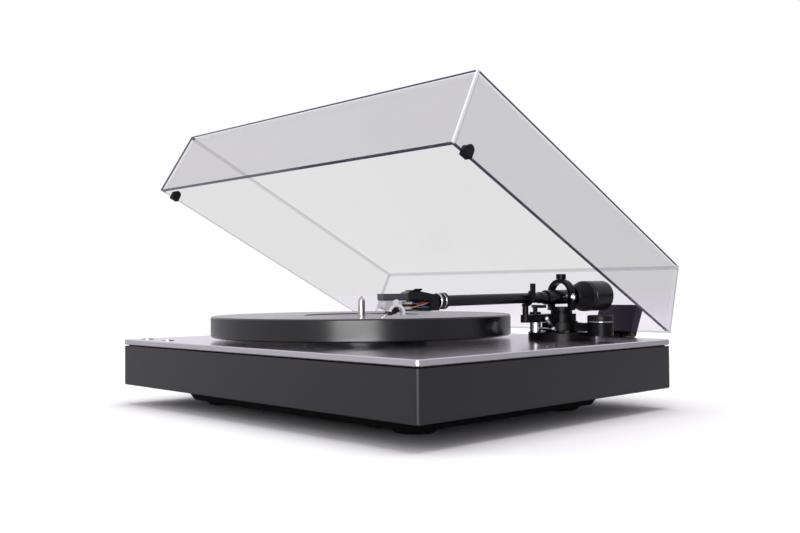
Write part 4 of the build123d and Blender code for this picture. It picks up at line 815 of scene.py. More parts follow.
class Workbench:
    """Models closed pieces by operators and hands each one over in its place."""

    SAME_POINT = 1e-6
    SHARP_ANGLE = math.radians(30.0)

    def __init__(self, finishes: FinishBook) -> None:
        """Keeps the finishes.

        Args:
            finishes: the finishes that pieces are given.
        """
        self.finishes = finishes

    def clear(self) -> None:
        """Leaves nothing selected."""
        bpy.ops.object.select_all(action="DESELECT")

    def ring(self, profile: Outline, sides: int) -> Piece:
        """Turns a closed section with a bore about Z; the profile isn't repeated at its end."""
        return self._turned(profile, sides, bored=True)

    def solid(self, profile: Outline, sides: int) -> Piece:
        """Turns an outline about Z, from the rim of its flat bottom to the rim of its flat top."""
        return self._turned(profile, sides, bored=False)

    def _turned(self, profile: Outline, sides: int, bored: bool) -> Piece:
        """Turns a profile about Z by extruding a ring of points along it.

        Args:
            profile: (height, radius) of each corner, in order.
            sides: how many sides the turning has.
            bored: whether the profile closes on itself round a bore.

        Returns:
            The new object.
        """
        self.clear()
        height, radius = profile[0]
        fill = "NOTHING" if bored else "NGON"
        bpy.ops.mesh.primitive_circle_add(
            vertices=sides, radius=radius, fill_type=fill, location=(0.0, 0.0, height)
        )
        bpy.ops.object.transform_apply(location=True)
        bpy.ops.object.mode_set(mode="EDIT")
        bpy.ops.mesh.select_all(action="SELECT")
        corners_left = [*profile[1:], profile[0]] if bored else profile[1:]
        for next_height, next_radius in corners_left:
            rise = (0.0, 0.0, next_height - height)
            bpy.ops.mesh.extrude_region_move(TRANSFORM_OT_translate={"value": rise})
            scale = next_radius / radius
            bpy.ops.transform.resize(value=(scale, scale, 1.0), center_override=(0.0, 0.0, next_height))
            height, radius = next_height, next_radius
        bpy.ops.mesh.select_all(action="SELECT")
        if bored:
            bpy.ops.mesh.remove_doubles(threshold=self.SAME_POINT)
        bpy.ops.mesh.normals_make_consistent(inside=False)
        bpy.ops.object.mode_set(mode="OBJECT")
        return bpy.context.active_object

    def rod(self, start: Vector, end: Vector, radii: tuple[float, ...], sides: int) -> Piece:
        """Makes a straight rod between two points.

        Args:
            start: the middle of its first end.
            end: the middle of its other end.
            radii: its radii, evenly spaced from one end to the other.
            sides: how many sides it has.

        Returns:
            The new object.
        """
        step = (end - start).length / (len(radii) - 1)
        rod = self.solid([(step * index, radius) for index, radius in enumerate(radii)], sides)
        return self.place(rod, along(start, end - start, Y_AXIS))

    def block(self, low: Triple, high: Triple, rounding: float = 0.0, segments: int = 2) -> Piece:
        """Makes a block between two corners.

        Args:
            low: its lowest corner.
            high: its highest corner.
            rounding: the bevel of its edges, or 0 for none.
            segments: the bevel's segments.

        Returns:
            The new object.
        """
        self.clear()
        middle = [(a + b) / 2 for a, b in zip(low, high)]
        bpy.ops.mesh.primitive_cube_add(size=1.0, location=middle)
        piece = bpy.context.active_object
        piece.scale = [b - a for a, b in zip(low, high)]
        bpy.ops.object.transform_apply(location=True, rotation=True, scale=True)
        if rounding:
            self.bevel(piece, rounding, segments)
        return piece

    def slice_off(self, piece: Piece, point: Triple, normal: Triple) -> None:
        """Cuts a piece by a plane and closes it, losing the side that the normal points to.

        Args:
            piece: the piece.
            point: a point of the plane.
            normal: the plane's normal.
        """
        self._only(piece)
        bpy.ops.object.mode_set(mode="EDIT")
        bpy.ops.mesh.select_all(action="SELECT")
        bpy.ops.mesh.bisect(plane_co=point, plane_no=normal, use_fill=True, clear_outer=True)
        bpy.ops.mesh.select_all(action="SELECT")
        bpy.ops.mesh.normals_make_consistent(inside=False)
        bpy.ops.object.mode_set(mode="OBJECT")

    def sink(self, piece: Piece, share: float, chosen: Callable[[Vector], bool]) -> None:
        """Draws some of the newest piece's points in towards the Z axis.

        Args:
            piece: the piece, just turned.
            share: the share of their radius that they keep.
            chosen: says of a point whether it is drawn in.
        """
        for group in (piece.data.polygons, piece.data.edges):
            for item in group:
                item.select = False
        for vertex in piece.data.vertices:
            vertex.select = chosen(vertex.co)
        bpy.ops.object.mode_set(mode="EDIT")
        bpy.ops.mesh.select_mode(type="VERT")
        bpy.ops.transform.resize(value=(share, share, 1.0), center_override=ORIGIN)
        bpy.ops.object.mode_set(mode="OBJECT")

    def turn(self, piece: Piece, angle: float, axis: str, centre: Triple) -> None:
        """Turns a piece's mesh about a point.

        Args:
            piece: the piece.
            angle: the angle in degrees.
            axis: the axis's letter.
            centre: the point that stays.
        """
        middle = Matrix.Translation(Vector(centre))
        spin = Matrix.Rotation(math.radians(angle), 4, axis)
        self.place(piece, middle @ spin @ middle.inverted())

    def bevel(self, piece: Piece, width: float, segments: int = 2) -> None:
        """Rounds a piece's sharp edges.

        Args:
            piece: the piece.
            width: the bevel's width.
            segments: its segments.
        """
        modifier = piece.modifiers.new("rounding", "BEVEL")
        modifier.width = width
        modifier.segments = segments
        modifier.limit_method = "ANGLE"
        modifier.angle_limit = self.SHARP_ANGLE
        modifier.use_clamp_overlap = True
        self._apply(piece, modifier)

    def cut(self, piece: Piece, tool: Piece) -> None:
        """Cuts one piece with another, which is used up.

        Args:
            piece: the piece that stays.
            tool: the piece whose room is cut away.
        """
        modifier = piece.modifiers.new("cut", "BOOLEAN")
        modifier.operation = "DIFFERENCE"
        modifier.solver = "EXACT"
        modifier.object = tool
        self._apply(piece, modifier)
        bpy.data.objects.remove(tool)

    def join(self, pieces: list[Piece]) -> Piece:
        """Joins pieces into the first one.

        Args:
            pieces: the pieces, each closed by itself.

        Returns:
            The joined piece.
        """
        self._only(pieces[0])
        for piece in pieces:
            piece.select_set(True)
        if len(pieces) > 1:
            bpy.ops.object.join()
        return pieces[0]

    def place(self, piece: Piece, matrix: Matrix) -> Piece:
        """Moves a piece's mesh to its place and leaves its object at the origin.

        Args:
            piece: the piece.
            matrix: the placing.

        Returns:
            The piece.
        """
        self._only(piece)
        piece.matrix_world = matrix
        bpy.ops.object.transform_apply(location=True, rotation=True, scale=True)
        return piece

    def hand_over(
        self,
        piece: Piece,
        name: str,
        finish: str,
        body: str,
        slot: str,
        replaced: str | None = None,
        smooth: float = 32.0,
    ) -> None:
        """Names, shades, dresses and attaches a finished piece.

        Args:
            piece: the piece.
            name: its name.
            finish: its finish.
            body: the body that it rides on.
            slot: not used.
            replaced: the node that it stands for, if any.
            smooth: the angle, in degrees, under which its faces shade smooth.
        """
        piece.name = name
        piece.data.name = name
        self._only(piece)
        bpy.ops.object.shade_smooth_by_angle(angle=math.radians(smooth))
        self.finishes.put(piece, finish)
        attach(piece, body)
        if replaced:
            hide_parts(replaced)
        log.info("made %s on %s", name, body)

    def _only(self, piece: Piece) -> None:
        """Leaves one piece selected and active."""
        self.clear()
        piece.select_set(True)
        bpy.context.view_layer.objects.active = piece

    def _apply(self, piece: Piece, modifier: bpy.types.Modifier) -> None:
        """Applies one modifier."""
        self._only(piece)
        bpy.ops.object.modifier_apply(modifier=modifier.name)


@dataclass
class SubAssembly:
    """A part of the turntable that is made on the workbench."""

    bench: Workbench

    def build(self) -> None:
        """Models the sub-assembly's pieces and attaches them."""
        raise NotImplementedError


@dataclass
class CounterweightDial(SubAssembly):
    """The conical stylus force dial with its fine ridges, in front of the weight."""

    bore: float = 0.0082
    start: float = 0.0168
    nose_radius: float = 0.0096
    cone_end: float = 0.0335
    rim_radius: float = 0.0150
    end: float = 0.0375
    edge: float = 0.0005
    sides: int = 168
    ridge_columns: int = 4
    ridge_share: float = 0.955
    smooth: float = 20.0

    def build(self) -> None:
        """Models the dial and attaches it."""
        edge, taper = self.edge, self._taper()
        profile = [
            (self.start, self.bore),
            (self.start, self.nose_radius - edge),
            (self.start + edge, self.nose_radius),
            (self.start + 4 * edge, self.nose_radius + 3 * edge * taper),
            (self.cone_end - edge, self.rim_radius - edge * taper),
            (self.cone_end, self.rim_radius),
            (self.end - edge, self.rim_radius),
            (self.end, self.rim_radius - edge),
            (self.end, self.bore),
        ]
        dial = self.bench.ring(profile, self.sides)
        self.bench.sink(dial, self.ridge_share, self._in_groove)
        self.bench.place(dial, along(GIMBAL, -ARM_ALONG, ARM_RIGHT))
        self.bench.hand_over(
            dial,
            "dial_ridged",
            "satin_knob",
            "force_dial_body",
            "knob_black",
            "force_dial",
            self.smooth,
        )

    def _taper(self) -> float:
        """The cone's rise per length."""
        return (self.rim_radius - self.nose_radius) / (self.cone_end - self.start - self.edge)

    def _in_groove(self, point: Vector) -> bool:
        """Whether a point of the cone is in every second pair of columns."""
        column = round(math.atan2(point.y, point.x) / (2 * math.pi / self.sides))
        on_cone = self.start + 3 * self.edge < point.z < self.cone_end - self.edge / 2
        return on_cone and column % self.ridge_columns in (0, 1)


@dataclass
class BearingScrews(SubAssembly):
    """The two pointed side screws of the arm's bearing, each with a six-sided socket."""

    point: float = 0.0058
    point_radius: float = 0.001
    neck: float = 0.0075
    shank_radius: float = 0.0025
    seat: float = 0.014
    head_radius: float = 0.0033
    head_rise: float = 0.0012
    edge: float = 0.0004
    socket_radius: float = 0.0016
    socket_depth: float = 0.0014
    socket_sides: int = 6
    overcut: float = 0.001
    sides: int = 40

    def build(self) -> None:
        """Models both screws and attaches them."""
        top = self.seat + self.head_rise
        profile = [
            (self.point, self.point_radius / 2),
            (self.point + self.edge, self.point_radius),
            (self.neck - self.edge, self.point_radius),
            (self.neck, self.shank_radius),
            (self.seat, self.shank_radius),
            (self.seat, self.head_radius),
            (top - self.edge, self.head_radius),
            (top, self.head_radius - self.edge),
        ]
        socket_profile = [
            (top - self.socket_depth, self.socket_radius),
            (top + self.overcut, self.socket_radius),
        ]
        screws = []
        for side in (-1.0, 1.0):
            screw = self.bench.solid(profile, self.sides)
            socket = self.bench.solid(socket_profile, self.socket_sides)
            self.bench.cut(screw, socket)
            screws.append(self.bench.place(screw, along(GIMBAL, ARM_RIGHT * side, ARM_ALONG)))
        self.bench.hand_over(
            self.bench.join(screws),
            "side_screws_socketed",
            "polished_metal",
            "yoke_body",
            "bright_chrome",
            "bearing_screws",
        )


@dataclass
class LockingCollar(SubAssembly):
    """The headshell's locking collar, ribbed, with a bright band, and the bright ring beside it."""

    bore: float = 0.0052
    start: float = 0.1568
    end: float = 0.165
    radius: float = 0.0072
    neck_radius: float = 0.0067
    edge: float = 0.0003
    grip: Span = (0.1574, 0.1602)
    band: Span = (0.1607, 0.1611)
    band_radii: Span = (0.0064, 0.00715)
    neck_ring: Span = (0.1653, 0.1668)
    neck_ring_radii: Span = (0.006, 0.0069)
    ring_sides: int = 72
    ribs: int = 96
    rib_share: float = 0.975
    smooth: float = 25.0

    def build(self) -> None:
        """Models the collar and its bright rings and attaches them."""
        grip_start, grip_end = self.grip
        profile = [
            (self.start, self.bore),
            (self.start, self.neck_radius - self.edge),
            (self.start + self.edge, self.neck_radius),
            (grip_start, self.neck_radius),
            (grip_start, self.radius - self.edge),
            (grip_start + self.edge, self.radius),
            (grip_end - self.edge, self.radius),
            (grip_end, self.radius - self.edge),
            (grip_end, self.neck_radius),
            (self.end - self.edge, self.neck_radius),
            (self.end, self.neck_radius - self.edge),
            (self.end, self.bore),
        ]
        collar = self.bench.ring(profile, self.ribs)
        self.bench.sink(collar, self.rib_share, self._between_ribs)
        self.bench.place(collar, ARM_PLACE)
        self.bench.hand_over(
            collar,
            "collar_ribbed",
            "turned_arm_coat",
            "lock_collar_body",
            "arm_black",
            "lock_collar",
            self.smooth,
        )
        for name, body, span, radii in (
            ("collar_bands", "lock_collar_body", self.band, self.band_radii),
            ("headshell_neck_ring", "arm_body", self.neck_ring, self.neck_ring_radii),
        ):
            ring = self.bench.ring(rounded_section(span, radii, self.edge / 2), self.ring_sides)
            self.bench.place(ring, ARM_PLACE)
            self.bench.hand_over(ring, name, "polished_metal", body, "bright_chrome")

    def _between_ribs(self, point: Vector) -> bool:
        """Whether a point of the grip is in every second column."""
        column = round(math.atan2(point.y, point.x) / (2 * math.pi / self.ribs))
        on_grip = math.hypot(point.x, point.y) > self.neck_radius + self.edge / 2
        return on_grip and column % 2 == 0


@dataclass
class PickupCartridge(SubAssembly):
    """The cartridge under the headshell, in the headshell's own frame: X forward, Z up."""

    start: float = 0.031
    front: float = 0.0505
    top: float = 0.0022
    bottom: float = -0.0078
    half_width: float = 0.00825
    edge: float = 0.0005
    plate_thickness: float = 0.0022
    foot_start: float = 0.0345
    core_inset: float = 0.0011
    core_front_inset: float = 0.0004
    core_rise: float = 0.001
    core_drop: float = 0.0012
    nose_rise: float = 0.0035
    nose_normal: Triple = (0.62, 0.0, -0.78)
    heel_rise: float = 0.003
    heel_normal: Triple = (-0.7, 0.0, -0.7)
    cheek_width: float = 0.003
    rear_cheek: float = 0.0018
    front_cheek: float = 0.0042
    cheek_rise: float = 0.002
    cheek_drop: float = 0.001
    boss_place: tuple[float, float] = (0.0400, -0.0008)
    boss_radius: float = 0.0028
    boss_rise: float = 0.0023
    boss_sunk: float = 0.0013
    boss_slot: Triple = (0.006, 0.0006, 0.0012)
    boss_tilt: float = 0.4
    boss_sides: int = 40
    guard_centre: tuple[float, float] = (0.0391, -0.0090)
    guard_radii: Span = (0.0050, 0.0071)
    guard_proud: float = 0.0002
    guard_foot: float = 0.0006
    guard_normal: Triple = (0.25, 0.0, -1.0)
    guard_edge: float = 0.0003
    guard_sides: int = 56
    grip_centre: tuple[float, float] = (0.0412, -0.0079)
    grip_half: Triple = (0.0043, 0.0076, 0.0021)
    grip_normal: Triple = (0.8, 0.0, 0.6)
    grip_edge: float = 0.0004
    grip_tilt: float = 22.0
    grip_ribs: int = 4
    rib_start: float = 0.0012
    rib_pitch: float = 0.0013
    rib_width: float = 0.0006
    rib_proud: float = 0.0003
    rib_half_height: float = 0.0017
    hub_half_length: float = 0.0079
    hub_radius: float = 0.0018
    hub_back: float = 0.001
    hub_rise: float = 0.0016
    hub_sides: int = 24
    tip: tuple[float, float] = (0.050, -0.0144)
    tube_start: Triple = (0.0448, 0.0, -0.0098)
    tube_radii: Triple = (0.00055, 0.0005, 0.0003)
    tube_lift: float = 0.0006
    tube_sides: int = 20
    point_profile: tuple[Span, ...] = ((0.0, 0.00008), (0.0005, 0.00035), (0.0011, 0.00035))
    point_sides: int = 16
    strip_behind: float = 0.0025
    strip_front: float = 0.0508
    strip_proud: float = 0.0005
    strip_depth: float = 0.0012
    strip_gap: float = 0.00002
    strip_edge: float = 0.0002
    sleeve_start: float = 0.0242
    sleeve_length: float = 0.007
    sleeve_radii: Span = (0.0008, 0.00115)
    sleeve_edge: float = 0.0003
    sleeve_offset: float = 0.0022
    sleeve_sides: int = 20
    lead_radius: float = 0.00055
    lead_sides: int = 14
    blue_lead: tuple[Triple, Triple] = ((0.0245, 0.0024, -0.0008), (0.0105, 0.0042, -0.0052))
    orange_lead: tuple[Triple, Triple] = ((0.0262, 0.0034, -0.0056), (0.0112, 0.0046, -0.0015))

    def build(self) -> None:
        """Models the cartridge, its stylus and the leads behind it, and attaches them."""
        for piece, name, finish, slot, replaced in (
            (self._body(), "cartridge_body", "cartridge_silver", "cartridge_silver", "cartridge"),
            (self._bright_parts(), "cartridge_bosses", "cartridge_bright", "cartridge_silver", None),
            (self._grip(), "stylus_grip", "grip_black", "component_black", "stylus"),
            (self._cantilever(), "stylus_cantilever", "polished_metal", "bright_chrome", None),
            # a dark strip put in as a painted shadow for the shaded gap under the headshell's plate
            (self._strip(), "painted_gap_shadow", "component_black", "component_black", None),
            (self._sleeves(), "lead_sleeves", "lead_colour_white", "lead_red", None),
            (self._lead(*self.blue_lead), "lead_blue_crossing", "lead_blue_colour", "lead_red", None),
            (self._lead(*self.orange_lead), "lead_orange_crossing", "lead_orange_colour", "lead_red", None),
        ):
            self.bench.place(piece, SHELL_PLACE)
            self.bench.hand_over(piece, name, finish, "arm_body", slot, replaced)

    def _body(self) -> Piece:
        """Models the moulded body: a tall block with four cheeks on a mounting plate.

        Returns:
            The new object.
        """
        plate = self.bench.block(
            (self.start, -self.half_width, self.top - self.plate_thickness),
            (self.front, self.half_width, self.top),
            self.edge,
        )
        half = self.half_width - self.core_inset
        core = self.bench.block(
            (self.foot_start, -half, self.bottom + self.core_rise),
            (self.front - self.core_front_inset, half, self.top - self.core_drop),
        )
        self.bench.slice_off(core, (self.front, 0.0, self.bottom + self.nose_rise), self.nose_normal)
        self.bench.slice_off(core, (self.foot_start, 0.0, self.bottom + self.heel_rise), self.heel_normal)
        self.bench.bevel(core, self.edge)
        cheeks = []
        for side in (-1.0, 1.0):
            near, far = sorted((side * (self.half_width - self.cheek_width), side * self.half_width))
            for low, high in (
                (self.foot_start, self.foot_start + self.rear_cheek),
                (self.front - self.front_cheek, self.front),
            ):
                foot = (low, near, self.bottom + self.cheek_rise)
                head = (high, far, self.top - self.cheek_drop)
                cheeks.append(self.bench.block(foot, head, self.edge))
        return self.bench.join([plate, core, *cheeks])

    def _bright_parts(self) -> Piece:
        """Models the round slotted bosses on both sides and the guard's arch.

        Returns:
            The new object.
        """
        parts = []
        centre, height = self.boss_place
        shoulder = self.boss_rise - self.edge
        profile = [
            (0.0, self.boss_radius),
            (shoulder, self.boss_radius),
            (self.boss_rise, self.boss_radius - self.edge),
        ]
        length, width, depth = self.boss_slot
        for side in (-1.0, 1.0):
            boss = self.bench.solid(profile, self.boss_sides)
            slot = self.bench.block(
                (-length / 2, -width / 2, shoulder), (length / 2, width / 2, shoulder + depth)
            )
            self.bench.cut(boss, slot)
            origin = Vector((centre, side * (self.half_width - self.boss_sunk), height))
            self.bench.place(boss, along(origin, Y_AXIS * side, Vector((1.0, 0.0, self.boss_tilt))))
            parts.append(boss)
        centre, height = self.guard_centre
        inner, outer = self.guard_radii
        half = self.half_width + self.guard_proud
        section = [(-half, inner), (-half, outer), (half, outer), (half, inner)]
        arch = self.bench.ring(section, self.guard_sides)
        self.bench.place(arch, along(Vector((centre, 0.0, height)), Y_AXIS))
        self.bench.slice_off(arch, (centre, 0.0, height - self.guard_foot), self.guard_normal)
        self.bench.bevel(arch, self.guard_edge)
        return self.bench.join([*parts, arch])

    def _grip(self) -> Piece:
        """Models the black grip that holds the stylus, tilted down towards the front.

        Returns:
            The new object.
        """
        centre, height = self.grip_centre
        middle = (centre, 0.0, height)
        length, width, rise = self.grip_half
        grip = self.bench.block(
            (centre - length, -width, height - rise), (centre + length, width, height + rise)
        )
        self.bench.slice_off(grip, (centre + length, 0.0, height), self.grip_normal)
        self.bench.bevel(grip, self.grip_edge)
        self.bench.turn(grip, self.grip_tilt, "Y", middle)
        ribs = []
        for index in range(self.grip_ribs):
            place = centre - length + self.rib_start + index * self.rib_pitch
            rib = self.bench.block(
                (place, -width - self.rib_proud, height - self.rib_half_height),
                (place + self.rib_width, width + self.rib_proud, height + self.rib_half_height),
            )
            self.bench.turn(rib, self.grip_tilt, "Y", middle)
            ribs.append(rib)
        hub_ends = (-self.hub_half_length, self.hub_half_length)
        hub = self.bench.solid([(end, self.hub_radius) for end in hub_ends], self.hub_sides)
        hub_centre = Vector((centre - self.hub_back, 0.0, height + self.hub_rise))
        self.bench.place(hub, along(hub_centre, Y_AXIS))
        return self.bench.join([grip, hub, *ribs])

    def _cantilever(self) -> Piece:
        """Models the thin tube out of the grip and the stylus at its end.

        Returns:
            The new object.
        """
        tip, height = self.tip
        end = Vector((tip, 0.0, height + self.tube_lift))
        tube = self.bench.rod(Vector(self.tube_start), end, self.tube_radii, self.tube_sides)
        profile = [(height + rise, radius) for rise, radius in self.point_profile]
        point = self.bench.solid(profile, self.point_sides)
        self.bench.place(point, Matrix.Translation(Vector((tip, 0.0, 0.0))))
        return self.bench.join([tube, point])

    def _strip(self) -> Piece:
        """Models a dark strip between the cartridge and the headshell, a painted shadow that stands in for
        the shaded gap there.

        Returns:
            The new object.
        """
        # painted shadow: a thin black block in the gap, a little wider than the cartridge
        half = self.half_width + self.strip_proud
        return self.bench.block(
            (self.start - self.strip_behind, -half, self.top - self.strip_depth),
            (self.strip_front, half, self.top - self.strip_gap),
            self.strip_edge,
            1,
        )

    def _sleeves(self) -> Piece:
        """Models the four sleeves where the leads meet the cartridge's pins.

        Returns:
            The new object.
        """
        narrow, wide = self.sleeve_radii
        profile = [
            (0.0, narrow),
            (self.sleeve_edge, wide),
            (self.sleeve_length - self.sleeve_edge, wide),
            (self.sleeve_length, narrow),
        ]
        sleeves = []
        for side in (-self.sleeve_offset, self.sleeve_offset):
            for level in (-self.sleeve_offset, self.sleeve_offset):
                origin = Vector((self.sleeve_start, side, LEADS_LEVEL + level))
                sleeve = self.bench.solid(profile, self.sleeve_sides)
                sleeves.append(self.bench.place(sleeve, along(origin, X_AXIS, Y_AXIS)))
        return self.bench.join(sleeves)

    def _lead(self, start: Triple, end: Triple) -> Piece:
        """Models a straight lead between two points."""
        radii = (self.lead_radius, self.lead_radius)
        return self.bench.rod(Vector(start), Vector(end), radii, self.lead_sides)


@dataclass
class FingerLift(SubAssembly):
    """The headshell's low finger lift, held by one small bright screw."""

    start: float = 0.0195
    end: float = 0.0265
    inner: float = -0.008
    bend: float = 0.0125
    outer: float = 0.0165
    bottom: float = 0.0084
    thickness: float = 0.0012
    rise_angle: float = 14.0
    corner: float = 0.0006
    screw_place: tuple[float, float] = (0.0212, 0.0068)
    screw_radius: float = 0.0012
    screw_rise: float = 0.0008
    screw_dome: float = 0.6
    screw_sides: int = 28

    def build(self) -> None:
        """Models the lift and its screw and attaches them."""
        top = self.bottom + self.thickness
        lip_start = self.bend - self.thickness
        tab = self.bench.block(
            (self.start, self.inner, self.bottom), (self.end, self.bend, top), self.corner
        )
        lip = self.bench.block((self.start, lip_start, self.bottom), (self.end, self.outer, top), self.corner)
        self.bench.turn(lip, self.rise_angle, "X", (0.0, lip_start, top))
        lift = self.bench.place(self.bench.join([tab, lip]), SHELL_PLACE)
        self.bench.hand_over(
            lift, "finger_lift_low", "satin_arm_coat", "arm_body", "arm_black", "finger_lift"
        )
        rise, radius, dome = self.screw_rise, self.screw_radius, self.screw_dome
        profile = [(0.0, radius), (rise * dome, radius), (rise, radius * dome)]
        screw = self.bench.solid(profile, self.screw_sides)
        self.bench.place(screw, SHELL_PLACE @ Matrix.Translation(Vector((*self.screw_place, top))))
        self.bench.hand_over(screw, "finger_lift_screw", "polished_metal", "arm_body", "bright_chrome")


@dataclass
class BaseScrews(SubAssembly):
    """The three domed screws of the arm's base, each with a cross recess."""

    circle: float = 0.0255
    radius: float = 0.0035
    rise: float = 0.0022
    level: float = 0.075
    first: float = -43.8
    count: int = 3
    spin: float = 25.0
    dome: float = 0.86
    dome_steps: tuple[float, ...] = (0.0, 0.35, 0.6, 0.8, 0.93, 1.0)
    recess_length: float = 0.0036
    recess_width: float = 0.0008
    recess_floor: float = 0.45
    overcut: float = 0.001
    sides: int = 40

    def build(self) -> None:
        """Models the screws and attaches them."""
        profile = [
            (self.rise * share, self.radius * math.sqrt(1.0 - self.dome * share**2))
            for share in self.dome_steps
        ]
        half, width = self.recess_length / 2, self.recess_width / 2
        floor, over = self.rise * self.recess_floor, self.rise + self.overcut
        screws = []
        for index in range(self.count):
            screw = self.bench.solid(profile, self.sides)
            for turn in (0.0, 90.0):
                tool = self.bench.block((-half, -width, floor), (half, width, over))
                self.bench.turn(tool, turn, "Z", ORIGIN)
                self.bench.cut(screw, tool)
            origin = PIVOT + heading(math.radians(self.first + 360.0 / self.count * index)) * self.circle
            origin.z = self.level
            spin = Matrix.Rotation(math.radians(self.spin * index), 4, "Z")
            screws.append(self.bench.place(screw, Matrix.Translation(origin) @ spin))
        piece = self.bench.join(screws)
        self.bench.hand_over(
            piece, "base_screws_crossed", "bright_black", "plinth_body", "arm_black", "base_screws"
        )


@dataclass(frozen=True)
class RingKind:
    """One kind of thin bright ring: its name, finish, places and section."""

    name: str
    finish: str
    slot: str
    places: tuple[tuple[float, float], ...]
    level: float
    radii: Span
    rise: float
    sides: int


@dataclass
class BrightRings(SubAssembly):
    """Thin bright rings on the anti-skate drum, round the buttons and on the lift's cylinder."""

    kinds: tuple[RingKind, ...] = (
        RingKind(
            name="skate_bright_line",
            finish="polished_metal",
            slot="bright_chrome",
            places=((0.1893, 0.0975),),
            level=0.0849,
            radii=(0.011, 0.0121),
            rise=0.0007,
            sides=80,
        ),
        RingKind(
            name="button_rims",
            finish="button_silver",
            slot="button_silver",
            places=((-0.198, -0.1555), (-0.157, -0.1555)),
            level=DECK_TOP,
            radii=(0.00585, 0.0069),
            rise=0.0004,
            sides=64,
        ),
        RingKind(
            name="lift_bright_line",
            finish="polished_metal",
            slot="bright_chrome",
            places=((0.1315, 0.074117),),
            level=0.0844,
            radii=(0.004, 0.00535),
            rise=0.0006,
            sides=56,
        ),
    )

    def build(self) -> None:
        """Models the rings and attaches them."""
        for kind in self.kinds:
            section = rounded_section((0.0, kind.rise), kind.radii, kind.rise / 4)
            rings = [
                self.bench.place(
                    self.bench.ring(section, kind.sides), Matrix.Translation(Vector((*place, kind.level)))
                )
                for place in kind.places
            ]
            self.bench.hand_over(self.bench.join(rings), kind.name, kind.finish, "plinth_body", kind.slot)


@dataclass
class SocketRings(SubAssembly):
    """Coloured rings round the two signal sockets."""

    panel: float = 0.17225
    level: float = 0.039
    sockets: tuple[tuple[float, str], ...] = ((0.052, "lead_colour_white"), (0.072, "lead_colour_red"))
    inner: float = 0.0043
    outer: float = 0.0056
    collar: float = 0.0012
    rise: float = 0.0006
    edge: float = 0.0002
    sides: int = 56

    def build(self) -> None:
        """Models the rings and attaches them."""
        section = [
            (0.0, self.inner),
            (0.0, self.outer),
            (self.rise - self.edge, self.outer),
            (self.rise, self.outer - self.edge),
            (self.rise, self.inner),
        ]
        for number, (across, finish) in enumerate(self.sockets, start=1):
            origin = Vector((across, self.panel + self.collar, self.level))
            ring = self.bench.place(self.bench.ring(section, self.sides), along(origin, Y_AXIS))
            self.bench.hand_over(ring, f"socket_ring_{number}", finish, "plinth_body", "lead_red")


@dataclass(frozen=True)
class Lamp:
    """One soft area lamp: its name, place, width and height, power in watts and use."""

    name: str
    place: Triple
    size: tuple[float, float]
    power: float
    use: LampUse


